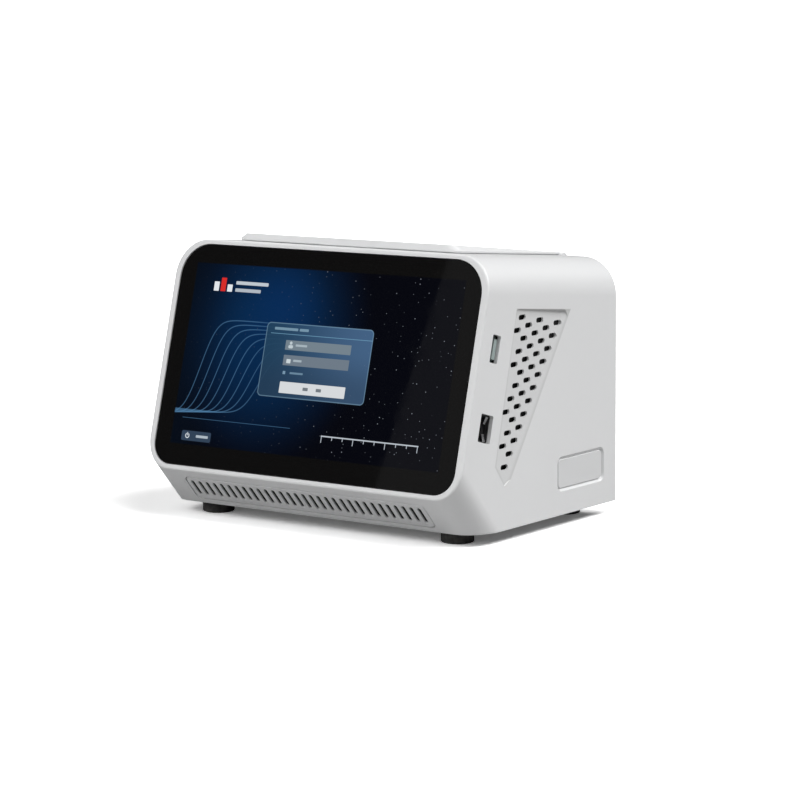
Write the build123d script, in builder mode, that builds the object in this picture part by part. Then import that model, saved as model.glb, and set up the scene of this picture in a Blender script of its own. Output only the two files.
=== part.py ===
from build123d import *
import math
import os

os.makedirs("parts", exist_ok=True)

# A compact real-time PCR instrument that stands on a bench.
# Millimetres and degrees. +X is to the right of someone who faces the screen, +Y is towards
# the back and +Z is up. The origin is on the bench, under the middle of the case.

# Case
HALF_WIDTH = 90.0
REAR_Y = 65.3
CASE_BOTTOM = 6.0
WALL = 2.5
TOP_ROUND = 17.5
CHIN_ROUND = 13.0
RIM_ROUND = 1.2
REAR_ROUND = 1.4

# Front face: the cover glass leans back from its bottom edge
GLASS_Y = -64.5
GLASS_Z = 25.8
LEAN = 15.2
GLASS_WIDTH = 172.7
GLASS_HEIGHT = 105.0
GLASS_THICK = 1.8
GLASS_TOP_ROUND = 16.0
GLASS_BOTTOM_ROUND = 10.5
GLASS_GAP = 0.15
RIM_PROUD = 0.4
FRONT_WALL = 3.4

# Chin: the case slopes back below the glass, down to its bottom edge
CHIN_Y = -64.1
CHIN_Z = 22.3
CHIN_LEAN = 42.0

# Top: it falls a little towards the back
TOP_Y = -36.9
TOP_Z = 129.4
TOP_FALL = 5.0

# Lid: a low wedge on the top, hinged along its rear edge
LID_FRONT_Y = -26.1
LID_FRONT_Z = 132.2
LID_FALL = 6.57
LID_HALF = 65.0
LID_SIDE_SLOPE = 35.6
LID_GAP = 0.2
HINGE_Y = 58.0
BARREL_R = 2.6
PIN_R = 1.2
RUNNING = 0.05

# Opening in the top, with the collar that hangs below it
OPENING_HALF = 56.0
OPENING_FRONT = -21.5
OPENING_BACK = 50.0
COLLAR_WALL = 2.0
COLLAR_BOTTOM = 115.0

# Sample block and what is stacked below it
BLOCK_Y = 8.0
BLOCK_HALF_X = 38.0
BLOCK_HALF_Y = 12.0
BLOCK_TOP = 104.0
BLOCK_FOOT = 92.0
WELL_PITCH = 9.0
WELL_TOP_R = 3.15
WELL_DEPTH = 10.5
WELL_HALF_ANGLE = 8.7
SINK_TOP = 88.4
SINK_BASE = 82.4
FIN_BOTTOM = 57.0
FAN_TOP = 53.0
FAN_THICK = 15.0
FAN_SIZE = 60.0
FAN_BORE_R = 28.5

# Base tray and feet
TRAY_BOTTOM = 7.0
TRAY_TOP = 9.0
TRAY_HALF = 87.3
TRAY_FRONT = -46.6
TRAY_BACK = 62.0
FOOT_R = 7.6
FOOT_X = 69.4
FOOT_FRONT_Y = -36.2
FOOT_BACK_Y = 51.5

# Rear panel
PANEL_Y = 62.3
PANEL_THICK = 2.5

# Optics behind the block: a carriage on two rods, driven by a screw
ROD_R = 2.0
ROD_Z = 70.0
ROD_Y = (42.5, 55.5)
SCREW_R = 2.5
SCREW_Y = 49.0
CARRIAGE_HALF = 11.0
CARRIAGE_HOME = -3.5 * WELL_PITCH
OPTICS_WALL = (50.5, 53.0)
GUIDE_Z = 94.5


def face_plane(depth):
    """The plane of the cover glass, moved into the case by depth. Its y runs up the slope."""
    c, s = math.cos(math.radians(LEAN)), math.sin(math.radians(LEAN))
    return Plane(
        origin=(0, GLASS_Y + depth * c, GLASS_Z - depth * s), x_dir=(1, 0, 0), z_dir=(0, -c, s)
    )


def chin_plane(depth):
    """The plane of the chin, moved into the case by depth. Its y runs up the slope."""
    c, s = math.cos(math.radians(CHIN_LEAN)), math.sin(math.radians(CHIN_LEAN))
    return Plane(
        origin=(0, CHIN_Y + depth * c, CHIN_Z + depth * s), x_dir=(1, 0, 0), z_dir=(0, -c, -s)
    )


def top_plane(height):
    """The plane of the top, moved up by height. Its y runs towards the back."""
    c, s = math.cos(math.radians(TOP_FALL)), math.sin(math.radians(TOP_FALL))
    return Plane(
        origin=(0, TOP_Y + height * s, TOP_Z + height * c), x_dir=(1, 0, 0), z_dir=(0, s, c)
    )


def meet(first, second):
    """The (y, z) point where two planes that hold the X direction cross."""
    a, b = first.z_dir, second.z_dir
    p = a.Y * first.origin.Y + a.Z * first.origin.Z
    q = b.Y * second.origin.Y + b.Z * second.origin.Z
    turn = a.Y * b.Z - a.Z * b.Y
    return ((p * b.Z - q * a.Z) / turn, (a.Y * q - b.Y * p) / turn)


def side_point(depth, slope):
    """The (y, z) place of a point that lies depth behind the glass and slope up its length."""
    c, s = math.cos(math.radians(LEAN)), math.sin(math.radians(LEAN))
    return (GLASS_Y + depth * c + slope * s, GLASS_Z - depth * s + slope * c)


def top_height(y):
    return TOP_Z - math.tan(math.radians(TOP_FALL)) * (y - TOP_Y)


def lid_height(y):
    return LID_FRONT_Z - math.tan(math.radians(LID_FALL)) * (y - LID_FRONT_Y)


def looking(plane):
    """Tests whether a face looks the way that a plane does."""
    return lambda face: (face.normal_at() - plane.z_dir).length < 0.01


def screen_shape(width, height, low, top_round, bottom_round):
    """An upright rectangle from low upwards, with its own corner radius at each end."""
    with BuildSketch() as shape:
        with Locations((0, low + height / 2)):
            Rectangle(width, height)
        fillet(shape.vertices().group_by(Axis.Y)[-1], top_round)
        fillet(shape.vertices().group_by(Axis.Y)[0], bottom_round)
    return shape.sketch


HINGE_Z = lid_height(HINGE_Y) - BARREL_R / math.cos(math.radians(LID_FALL))
LID_BASE = top_plane(LID_GAP)
RIGHT_SIDE = Plane(origin=(HALF_WIDTH, 0, 0), x_dir=(0, 1, 0), z_dir=(1, 0, 0))
RIGHT_INSIDE = RIGHT_SIDE.offset(-WALL)


# Cavity of the housing, less the ribs, bosses and collar that stay inside it
BRACKET_FRONT = 7.3
BOSS_X = 84.0
BOSS_SLOPES = (14.0, 92.0)
LEDGE_HALF = 72.0
SIDE_BOSS_X = 80.75
SIDE_BOSS_Y = (-30.0, 30.0)
REAR_BOSSES = ((81.75, 14.2, 11.5, 9.8), (79.25, 104.0, 16.5, 11.0))
SCOOP_HALF = 17.0
SCOOP_DEPTH = 1.8

with BuildPart() as cavity:
    with BuildSketch(Plane.YZ):
        with BuildLine():
            front, roof, chin = face_plane(FRONT_WALL), top_plane(-WALL), chin_plane(WALL)
            beyond = Plane.XZ.offset(-REAR_Y - 10)
            Polyline(
                meet(chin, front),
                meet(front, roof),
                meet(roof, beyond),
                meet(beyond, Plane.XY),
                meet(chin, Plane.XY),
                close=True,
            )
        make_face()
    extrude(amount=HALF_WIDTH - WALL, both=True)
    roof_face = cavity.faces().filter_by(looking(top_plane(0)))[0]
    chin_face = cavity.faces().filter_by(looking(chin_plane(0)))[0]
    fillet(roof_face.edges().group_by(Axis.X)[0] + roof_face.edges().group_by(Axis.X)[-1],
           TOP_ROUND - WALL)
    chin_face = cavity.faces().filter_by(looking(chin_plane(0)))[0]
    fillet(chin_face.edges().group_by(Axis.X)[0] + chin_face.edges().group_by(Axis.X)[-1],
           CHIN_ROUND - WALL)
    # The collar round the lid's opening
    collar_y = (OPENING_FRONT + OPENING_BACK) / 2
    collar_length = OPENING_BACK - OPENING_FRONT + 2 * COLLAR_WALL
    with Locations((0, collar_y, COLLAR_BOTTOM)):
        Box(2 * (OPENING_HALF + COLLAR_WALL), collar_length, 40,
            align=(Align.CENTER, Align.CENTER, Align.MIN), mode=Mode.SUBTRACT)
    # The ledge that carries the hinge, behind the collar
    with Locations((0, OPENING_BACK, COLLAR_BOTTOM + 0.2)):
        Box(2 * LEDGE_HALF, 11.9, 40, align=(Align.CENTER, Align.MIN, Align.MIN), mode=Mode.SUBTRACT)
    # Thicker skin under the finger scoop
    with BuildSketch(top_plane(-WALL - SCOOP_DEPTH)):
        with Locations((0, 9.5)):
            Rectangle(2 * SCOOP_HALF + 6, 15)
    extrude(amount=WALL + SCOOP_DEPTH, mode=Mode.SUBTRACT)
    # Bosses for the display bracket, on the front wall
    with BuildSketch(face_plane(FRONT_WALL)):
        with Locations(*((x, b) for x in (-BOSS_X, BOSS_X) for b in BOSS_SLOPES)):
            Circle(2.8)
    extrude(amount=FRONT_WALL - BRACKET_FRONT, mode=Mode.SUBTRACT)
    # Bosses for the tray screws and for the rear panel
    for side in (-1, 1):
        for y in SIDE_BOSS_Y:
            with Locations((side * SIDE_BOSS_X, y, TRAY_TOP)):
                Box(13.5, 12, 15, align=(Align.CENTER, Align.CENTER, Align.MIN), mode=Mode.SUBTRACT)
        for x, z, width, height in REAR_BOSSES:
            with Locations((side * x, PANEL_Y - 6, z)):
                Box(width, 12, height, mode=Mode.SUBTRACT)


# Vent recess in the side: a shallow pocket, deepest at its rear top corner, where its rear
# wall runs out gently, with an oval hole lattice in its thin floor
RECESS = ((-18.8, 104.6), (24.9, 100.3), (-24.0, 28.4), (-29.0, 26.1), (-36.3, 35.6))
RECESS_FRONT_DEPTH = 0.45
RECESS_REAR_DEPTH = 1.5
RECESS_FOOT_DEPTH = 0.35
RECESS_DRAFT = 40.0
RECESS_REAR_SLOPE = 16.0
RECESS_SKIN = 0.9
VENT_FIRST = (-13.8, 100.3)
VENT_STEP_DOWN = (5.32, -4.08)
VENT_STEP_BACK = (-4.02, -5.49)
VENT_LENGTH = 5.8
VENT_HEIGHT = 2.4
VENT_MARGIN = 2.3
VENT_TOP_MARGIN = 3.4


def vent_places():
    """The lattice points that lie far enough inside the recess's outline."""
    places = []
    for i in range(-10, 30):
        for j in range(-10, 30):
            y = VENT_FIRST[0] + i * VENT_STEP_DOWN[0] + j * VENT_STEP_BACK[0]
            z = VENT_FIRST[1] + i * VENT_STEP_DOWN[1] + j * VENT_STEP_BACK[1]
            inside = True
            for k, start in enumerate(RECESS):
                end = RECESS[(k + 1) % len(RECESS)]
                run, rise = end[0] - start[0], end[1] - start[1]
                room = ((y - start[0]) * rise - (z - start[1]) * run) / math.hypot(run, rise)
                inside = inside and room > (VENT_TOP_MARGIN if k == 0 else VENT_MARGIN)
            if inside:
                places.append((y, z))
    return places


with BuildSketch() as recess_outline:
    with BuildLine():
        Polyline(*RECESS, close=True)
    make_face()
    corners = recess_outline.vertices()
    fillet(corners.sort_by_distance((RECESS[0][0], RECESS[0][1], 0))[0], 1.8)
    fillet(recess_outline.vertices().sort_by_distance((RECESS[1][0], RECESS[1][1], 0))[0], 3.5)
    fillet(recess_outline.vertices().sort_by_distance((RECESS[4][0], RECESS[4][1], 0))[0], 4.0)

with BuildPart() as vent_cutter:
    with BuildSketch(RIGHT_SIDE):
        add(recess_outline.sketch)
    extrude(amount=-2.0, taper=RECESS_DRAFT)
    front = Vector(HALF_WIDTH - RECESS_FRONT_DEPTH, *RECESS[0])
    rear = Vector(HALF_WIDTH - RECESS_REAR_DEPTH, *RECESS[1])
    foot = Vector(HALF_WIDTH - RECESS_FOOT_DEPTH, *RECESS[3])
    floor = Plane(origin=front, z_dir=(foot - front).cross(rear - front))
    split(bisect_by=floor, keep=Keep.TOP)
    edge = Vector(0, *RECESS[1]) - Vector(0, *RECESS[2])
    gentle = Vector(1, 0, 0).cross(edge).normalized() * math.tan(math.radians(RECESS_REAR_SLOPE))
    split(
        bisect_by=Plane(origin=(HALF_WIDTH, *RECESS[1]), z_dir=Vector(1, 0, 0) + gentle),
        keep=Keep.TOP,
    )
    with BuildPart(mode=Mode.PRIVATE) as thinning:
        with BuildSketch(RIGHT_INSIDE.offset(-1)):
            offset(recess_outline.sketch, amount=-1.0)
        extrude(amount=WALL + 1)
        split(bisect_by=floor.offset(-RECESS_SKIN), keep=Keep.BOTTOM)
    add(thinning.part)
    with BuildSketch(RIGHT_INSIDE.offset(-1)):
        with Locations(*vent_places()):
            SlotOverall(VENT_LENGTH, VENT_HEIGHT)
    extrude(amount=WALL + 1)
print("vent holes", len(vent_places()))

# Sockets on the right side: depth behind the glass, slope, and the size of each cut-out
UPPER_SOCKET = (11.05, 67.8, 6.1, 12.6)
LOWER_SOCKET = (12.75, 32.45, 9.5, 12.6)

# Name plate field on the right side, left bare
PLATE_CENTRE = (34.05, 25.05)
PLATE_SIZE = (39.7, 16.3)
PLATE_ROUND = 3.6
PLATE_GROOVE = 0.3
PLATE_DEPTH = 1.2
PLATE_THICK = 0.7

# Grille in the chin
GRILLE_HALF = 68.7
GRILLE_TOP = -3.3
GRILLE_FOOT = -18.6
GRILLE_GAP = 0.5
GRILLE_ROUND = 2.8
SLOT_COUNT = 31
SLOT_PITCH = 4.352
SLOT_LENGTH = 10.3
SLOT_WIDTH = 1.95
SLOT_MIDDLE = -10.5

with BuildPart() as upper_housing:
    with BuildSketch(Plane.YZ):
        with BuildLine():
            front, roof, chin = face_plane(-RIM_PROUD), top_plane(0), chin_plane(0)
            back, bottom = Plane.XZ.offset(-REAR_Y), Plane.XY.offset(CASE_BOTTOM)
            Polyline(
                meet(chin, front),
                meet(front, roof),
                meet(roof, back),
                meet(back, bottom),
                meet(chin, bottom),
                close=True,
            )
        make_face()
    extrude(amount=HALF_WIDTH, both=True)
    roof_face = upper_housing.faces().filter_by(looking(top_plane(0)))[0]
    fillet(roof_face.edges().group_by(Axis.X)[0] + roof_face.edges().group_by(Axis.X)[-1], TOP_ROUND)
    chin_face = upper_housing.faces().filter_by(looking(chin_plane(0)))[0]
    fillet(chin_face.edges().group_by(Axis.X)[0] + chin_face.edges().group_by(Axis.X)[-1], CHIN_ROUND)
    fillet(upper_housing.faces().filter_by(looking(face_plane(0)))[0].edges(), RIM_ROUND)
    rear_face = upper_housing.faces().sort_by(Axis.Y)[-1]
    fillet(rear_face.edges().group_by(Axis.Z)[1:], REAR_ROUND)
    add(cavity.part, mode=Mode.SUBTRACT)
    # Seat of the cover glass, and the window for the display behind it
    with BuildSketch(face_plane(GLASS_THICK)):
        add(
            screen_shape(
                GLASS_WIDTH + 2 * GLASS_GAP,
                GLASS_HEIGHT + 2 * GLASS_GAP,
                -GLASS_GAP,
                GLASS_TOP_ROUND + GLASS_GAP,
                GLASS_BOTTOM_ROUND + GLASS_GAP,
            )
        )
    extrude(amount=5, mode=Mode.SUBTRACT)
    with BuildSketch(face_plane(FRONT_WALL + 0.5)):
        add(screen_shape(161.2, 95.2, 5.4, 3.5, 3.5))
    extrude(amount=5, mode=Mode.SUBTRACT)
    # Window for the grille in the chin
    with BuildSketch(chin_plane(WALL + 1)):
        with Locations((0, (GRILLE_TOP + GRILLE_FOOT) / 2)):
            RectangleRounded(
                2 * (GRILLE_HALF + GRILLE_GAP),
                GRILLE_TOP - GRILLE_FOOT + 2 * GRILLE_GAP,
                GRILLE_ROUND + GRILLE_GAP,
            )
    extrude(amount=WALL + 3, mode=Mode.SUBTRACT)
    # Opening under the lid, the hinge trough and its pin holes
    with Locations((0, collar_y, COLLAR_BOTTOM - 5)):
        Box(2 * OPENING_HALF, OPENING_BACK - OPENING_FRONT, 40,
            align=(Align.CENTER, Align.CENTER, Align.MIN), mode=Mode.SUBTRACT)
    with BuildSketch(Plane.YZ):
        with Locations((HINGE_Y, HINGE_Z)):
            Circle(BARREL_R + 0.4)
            Rectangle(2 * (BARREL_R + 0.4), 10, align=(Align.CENTER, Align.MIN))
    extrude(amount=LID_HALF + 0.5, both=True, mode=Mode.SUBTRACT)
    with BuildSketch(Plane.YZ):
        with Locations((HINGE_Y, HINGE_Z)):
            Circle(PIN_R)
    extrude(amount=LEDGE_HALF - 1, both=True, mode=Mode.SUBTRACT)
    # Finger scoop in front of the lid
    with BuildSketch(top_plane(-SCOOP_DEPTH)):
        with Locations((0, 6.6)):
            RectangleRounded(2 * SCOOP_HALF, 10.4, 3)
    extrude(amount=5, mode=Mode.SUBTRACT)
    # Vents on both sides
    add(vent_cutter.part, mode=Mode.SUBTRACT)
    add(mirror(vent_cutter.part, about=Plane.YZ, mode=Mode.PRIVATE), mode=Mode.SUBTRACT)
    # Sockets and the plate's field on the right side
    with BuildSketch(RIGHT_INSIDE.offset(-1)):
        for depth, slope, thick, tall in (UPPER_SOCKET, LOWER_SOCKET):
            with Locations(side_point(depth, slope)):
                RectangleRounded(thick, tall, 0.6, rotation=-LEAN)
    extrude(amount=WALL + 3, mode=Mode.SUBTRACT)
    with BuildSketch(RIGHT_SIDE):
        with Locations(PLATE_CENTRE):
            RectangleRounded(*PLATE_SIZE, PLATE_ROUND)
    extrude(amount=-PLATE_DEPTH, taper=45, mode=Mode.SUBTRACT)
    # Pilot holes: display bracket, tray and rear panel
    with BuildSketch(face_plane(BRACKET_FRONT)):
        with Locations(*((x, b) for x in (-BOSS_X, BOSS_X) for b in BOSS_SLOPES)):
            Circle(1.3)
    extrude(amount=4.5, mode=Mode.SUBTRACT)
    with BuildSketch(Plane.XY.offset(TRAY_TOP)):
        with Locations(*((side * SIDE_BOSS_X, y) for side in (-1, 1) for y in SIDE_BOSS_Y)):
            Circle(1.5)
    extrude(amount=10, mode=Mode.SUBTRACT)
    with BuildSketch(Plane.XZ.offset(-PANEL_Y)):
        with Locations(*((side * boss[0], boss[1]) for side in (-1, 1) for boss in REAR_BOSSES)):
            Circle(1.5)
    extrude(amount=9, mode=Mode.SUBTRACT)
upper_housing.part.label = "upper_housing"
export_step(upper_housing.part, "parts/upper_housing.step")

with BuildPart() as name_plate:
    with BuildSketch(RIGHT_SIDE.offset(-PLATE_DEPTH)):
        with Locations(PLATE_CENTRE):
            inset = PLATE_DEPTH + PLATE_GROOVE
            RectangleRounded(PLATE_SIZE[0] - 2 * inset, PLATE_SIZE[1] - 2 * inset, PLATE_ROUND - inset)
    extrude(amount=PLATE_THICK)
    chamfer(name_plate.faces().sort_by(Axis.X)[-1].edges(), 0.2)
name_plate.part.label = "name_plate"
export_step(name_plate.part, "parts/name_plate.step")

with BuildPart() as front_vent_grille:
    with BuildSketch(chin_plane(WALL)):
        with Locations((0, (GRILLE_TOP + GRILLE_FOOT) / 2)):
            RectangleRounded(2 * GRILLE_HALF, GRILLE_TOP - GRILLE_FOOT, GRILLE_ROUND)
    extrude(amount=WALL)
    chamfer(front_vent_grille.faces().filter_by(looking(chin_plane(0)))[0].edges(), 0.3)
    with BuildSketch(chin_plane(WALL + 1)):
        with Locations((0, (GRILLE_TOP + GRILLE_FOOT) / 2)):
            RectangleRounded(2 * GRILLE_HALF + 3, GRILLE_TOP - GRILLE_FOOT + 3, 3)
    extrude(amount=1)
    with BuildSketch(chin_plane(WALL + 2)):
        with Locations((0, SLOT_MIDDLE)):
            with GridLocations(SLOT_PITCH, 1, SLOT_COUNT, 1):
                SlotOverall(SLOT_LENGTH, SLOT_WIDTH, rotation=90)
    extrude(amount=WALL + 3, mode=Mode.SUBTRACT)
front_vent_grille.part.label = "front_vent_grille"
export_step(front_vent_grille.part, "parts/front_vent_grille.step")

# Fine screens behind the side vents and the grille
with BuildPart() as dust_screens:
    for side in (1, -1):
        with BuildSketch(Plane(origin=(side * (HALF_WIDTH - WALL), 0, 0), x_dir=(0, 1, 0), z_dir=(1, 0, 0))):
            offset(recess_outline.sketch, amount=1.5)
        extrude(amount=-0.8 * side)
    with BuildSketch(chin_plane(WALL + 1.5)):
        with Locations((0, (GRILLE_TOP + GRILLE_FOOT) / 2)):
            RectangleRounded(2 * GRILLE_HALF, GRILLE_TOP - GRILLE_FOOT, GRILLE_ROUND)
    extrude(amount=0.5)
dust_screens.part.label = "dust_screens"
export_step(dust_screens.part, "parts/dust_screens.step")


# Front: cover glass, display and what holds them
with BuildPart() as touch_glass:
    with BuildSketch(face_plane(GLASS_THICK)):
        add(screen_shape(GLASS_WIDTH, GLASS_HEIGHT, 0, GLASS_TOP_ROUND, GLASS_BOTTOM_ROUND))
    extrude(amount=GLASS_THICK)
    chamfer(touch_glass.faces().filter_by(looking(face_plane(0)))[0].edges(), 0.3)
touch_glass.part.label = "touch_glass"
export_step(touch_glass.part, "parts/touch_glass.step")

with BuildPart() as display_panel:
    with BuildSketch(face_plane(BRACKET_FRONT)):
        add(screen_shape(160, 94, 6, 3, 3))
    extrude(amount=BRACKET_FRONT - GLASS_THICK)
display_panel.part.label = "display_panel"
export_step(display_panel.part, "parts/display_panel.step")

BRACKET_THICK = 1.2
BRACKET_BACK = BRACKET_FRONT + BRACKET_THICK
BOARD_FRONT = 13.9
BOARD_THICK = 1.6
BOARD_BACK = BOARD_FRONT + BOARD_THICK
POST_PLACES = tuple((x, b) for x in (-65.0, 65.0) for b in (17.0, 71.0))

with BuildPart() as display_bracket:
    with BuildSketch(face_plane(BRACKET_BACK)):
        add(screen_shape(144, 94, 6, 3, 3))
        with Locations(*((x * 0.94, b) for x in (-BOSS_X, BOSS_X) for b in BOSS_SLOPES)):
            Rectangle(14.8, 8)
        add(screen_shape(116, 60, 23, 4, 4), mode=Mode.SUBTRACT)
        with Locations(*((x, b) for x in (-BOSS_X, BOSS_X) for b in BOSS_SLOPES)):
            Circle(1.5, mode=Mode.SUBTRACT)
    extrude(amount=BRACKET_THICK)
display_bracket.part.label = "display_bracket"
export_step(display_bracket.part, "parts/display_bracket.step")

with BuildPart() as display_screws:
    with BuildSketch(face_plane(BRACKET_BACK)):
        with Locations(*((x, b) for x in (-BOSS_X, BOSS_X) for b in BOSS_SLOPES)):
            Circle(1.25)
    extrude(amount=BRACKET_THICK + 4)
    with BuildSketch(face_plane(BRACKET_BACK + 1.5)):
        with Locations(*((x, b) for x in (-BOSS_X, BOSS_X) for b in BOSS_SLOPES)):
            Circle(2.4)
            RegularPolygon(1.0, 6, mode=Mode.SUBTRACT)
    extrude(amount=1.5)
display_screws.part.label = "display_screws"
export_step(display_screws.part, "parts/display_screws.step")

with BuildPart() as board_standoffs:
    with BuildSketch(face_plane(BOARD_FRONT)):
        with Locations(*POST_PLACES):
            Circle(2.5)
            Circle(1.25, mode=Mode.SUBTRACT)
    extrude(amount=BOARD_FRONT - BRACKET_BACK)
board_standoffs.part.label = "board_standoffs"
export_step(board_standoffs.part, "parts/board_standoffs.step")

with BuildPart() as main_board:
    with BuildSketch(face_plane(BOARD_BACK)):
        with Locations((3.25, 44)):
            Rectangle(150.5, 64)
        with Locations((79, LOWER_SOCKET[1])):
            Rectangle(10, 14, mode=Mode.SUBTRACT)
        with Locations(*POST_PLACES):
            Circle(1.4, mode=Mode.SUBTRACT)
    extrude(amount=BOARD_THICK)
main_board.part.label = "main_board"
export_step(main_board.part, "parts/main_board.step")

with BuildPart() as board_screws:
    with BuildSketch(face_plane(BOARD_BACK)):
        with Locations(*POST_PLACES):
            Circle(1.2)
    extrude(amount=BOARD_THICK + 3.5)
    with BuildSketch(face_plane(BOARD_BACK + 1.5)):
        with Locations(*POST_PLACES):
            Circle(2.4)
            RegularPolygon(1.0, 6, mode=Mode.SUBTRACT)
    extrude(amount=1.5)
board_screws.part.label = "board_screws"
export_step(board_screws.part, "parts/board_screws.step")

# Chips and connectors on the back of the main board: across, slope, width, height, thickness
CHIPS = (
    (0, 46, 20, 20, 2.2),
    (24, 54, 10, 14, 1.2),
    (24, 36, 10, 14, 1.2),
    (-32, 52, 14, 14, 1.6),
    (-32, 28, 18, 8, 4.0),
    (45, 60, 20, 5, 4.0),
    (50, 24, 12, 12, 1.6),
    (0, 18, 30, 4.5, 4.0),
)
with BuildPart() as board_components:
    for across, slope, width, height, thick in CHIPS:
        with BuildSketch(face_plane(BOARD_BACK + thick)):
            with Locations((across, slope)):
                Rectangle(width, height)
        extrude(amount=thick)
board_components.part.label = "board_components"
export_step(board_components.part, "parts/board_components.step")


# USB sockets at the right edge of the board, open to the side
SOCKET_MOUTH = 87.3


def socket_shell(spec, inner_x, gap, skin):
    """A five-sided metal shell round a socket, with its mouth just behind the side of the case."""
    depth, slope, thick, tall = spec
    with BuildPart() as shell:
        with BuildSketch(Plane.YZ.offset(inner_x)):
            with Locations(side_point(depth, slope)):
                RectangleRounded(thick - gap, tall - gap, 0.5, rotation=-LEAN)
        extrude(amount=SOCKET_MOUTH - inner_x)
        with BuildSketch(Plane.YZ.offset(inner_x + skin)):
            with Locations(side_point(depth, slope)):
                Rectangle(thick - gap - 2 * skin, tall - gap - 2 * skin, rotation=-LEAN)
        extrude(amount=SOCKET_MOUTH - inner_x, mode=Mode.SUBTRACT)
    return shell


usb_socket_upper = socket_shell(UPPER_SOCKET, 75.8, 0.4, 0.4)
usb_socket_upper.part.label = "usb_socket_upper"
export_step(usb_socket_upper.part, "parts/usb_socket_upper.step")

usb_socket_lower = socket_shell(LOWER_SOCKET, 74.4, 0.4, 0.8)
usb_socket_lower.part.label = "usb_socket_lower"
export_step(usb_socket_lower.part, "parts/usb_socket_lower.step")

with BuildPart() as socket_tongues:
    with BuildSketch(Plane.YZ.offset(76.2)):
        with Locations(side_point(UPPER_SOCKET[0] + 0.9, UPPER_SOCKET[1])):
            Rectangle(1.9, 10.6, rotation=-LEAN)
    extrude(amount=10.6)
    with BuildSketch(Plane.YZ.offset(75.2)):
        with Locations(side_point(LOWER_SOCKET[0] + 2.5, LOWER_SOCKET[1])):
            Rectangle(1.9, 9.6, rotation=-LEAN)
    extrude(amount=11.2)
socket_tongues.part.label = "socket_tongues"
export_step(socket_tongues.part, "parts/socket_tongues.step")


# Base tray, feet and the screws that close the case
with BuildPart() as base_tray:
    with BuildSketch(Plane.XY.offset(TRAY_BOTTOM)) as tray_plan:
        with Locations((0, (TRAY_FRONT + TRAY_BACK) / 2)):
            Rectangle(2 * TRAY_HALF, TRAY_BACK - TRAY_FRONT)
        fillet(tray_plan.vertices().group_by(Axis.Y)[0], 18)
        with Locations(*((side * SIDE_BOSS_X, y) for side in (-1, 1) for y in SIDE_BOSS_Y)):
            Circle(1.7, mode=Mode.SUBTRACT)
        with Locations(*((x, y) for x in (-FOOT_X, FOOT_X) for y in (FOOT_FRONT_Y, FOOT_BACK_Y))):
            Circle(1.6, mode=Mode.SUBTRACT)
        with Locations((0, BLOCK_Y)):
            with GridLocations(38, 5, 2, 9):
                SlotOverall(32, 2.4, mode=Mode.SUBTRACT)
    extrude(amount=TRAY_TOP - TRAY_BOTTOM)
base_tray.part.label = "base_tray"
export_step(base_tray.part, "parts/base_tray.step")

FOOT_PLACES = tuple((x, y) for x in (-FOOT_X, FOOT_X) for y in (FOOT_FRONT_Y, FOOT_BACK_Y))
with BuildPart() as rubber_feet:
    with BuildSketch():
        with Locations(*FOOT_PLACES):
            Circle(FOOT_R)
    extrude(amount=TRAY_BOTTOM)
    fillet(rubber_feet.faces().group_by(Axis.Z)[0].edges(), 0.9)
    with Locations(*((x, y, 0) for x, y in FOOT_PLACES)):
        Cylinder(3.3, 3.2, align=(Align.CENTER, Align.CENTER, Align.MIN), mode=Mode.SUBTRACT)
        Cylinder(1.6, TRAY_BOTTOM, align=(Align.CENTER, Align.CENTER, Align.MIN), mode=Mode.SUBTRACT)
rubber_feet.part.label = "rubber_feet"
export_step(rubber_feet.part, "parts/rubber_feet.step")

with BuildPart() as foot_screws:
    with Locations(*((x, y, 3.2) for x, y in FOOT_PLACES)):
        Cylinder(3.0, 1.9, align=(Align.CENTER, Align.CENTER, Align.MAX))
        Cylinder(1.55, 5.8, align=(Align.CENTER, Align.CENTER, Align.MIN))
    with BuildSketch(Plane.XY.offset(1.3)):
        with Locations(*FOOT_PLACES):
            RegularPolygon(1.3, 6)
    extrude(amount=1.2, mode=Mode.SUBTRACT)
foot_screws.part.label = "foot_screws"
export_step(foot_screws.part, "parts/foot_screws.step")

with BuildPart() as housing_screws:
    with Locations(*((side * SIDE_BOSS_X, y, TRAY_BOTTOM) for side in (-1, 1) for y in SIDE_BOSS_Y)):
        Cylinder(2.8, 1.7, align=(Align.CENTER, Align.CENTER, Align.MAX))
        Cylinder(1.45, 10, align=(Align.CENTER, Align.CENTER, Align.MIN))
    with BuildSketch(Plane.XY.offset(TRAY_BOTTOM - 1.7)):
        with Locations(*((side * SIDE_BOSS_X, y) for side in (-1, 1) for y in SIDE_BOSS_Y)):
            RegularPolygon(1.3, 6)
    extrude(amount=1.1, mode=Mode.SUBTRACT)
housing_screws.part.label = "housing_screws"
export_step(housing_screws.part, "parts/housing_screws.step")


# Rear panel with its inlet, switch and network socket
PANEL_TOP = 117.4
PANEL_FOOT = 9.3
INLET_PLACE = (-68.0, 25.0)
NETWORK_PLACE = (-38.0, 25.0)
SWITCH_PLACE = (65.5, 25.0)
SWITCH_CUT = (13.2, 19.4)
NETWORK_CUT = (16.2, 13.6)
REAR = Plane(origin=(0, PANEL_Y, 0), x_dir=(-1, 0, 0), z_dir=(0, 1, 0))


def behind(place):
    """A place on the rear panel, as its outward looking plane measures it."""
    return (-place[0], place[1])


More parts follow.
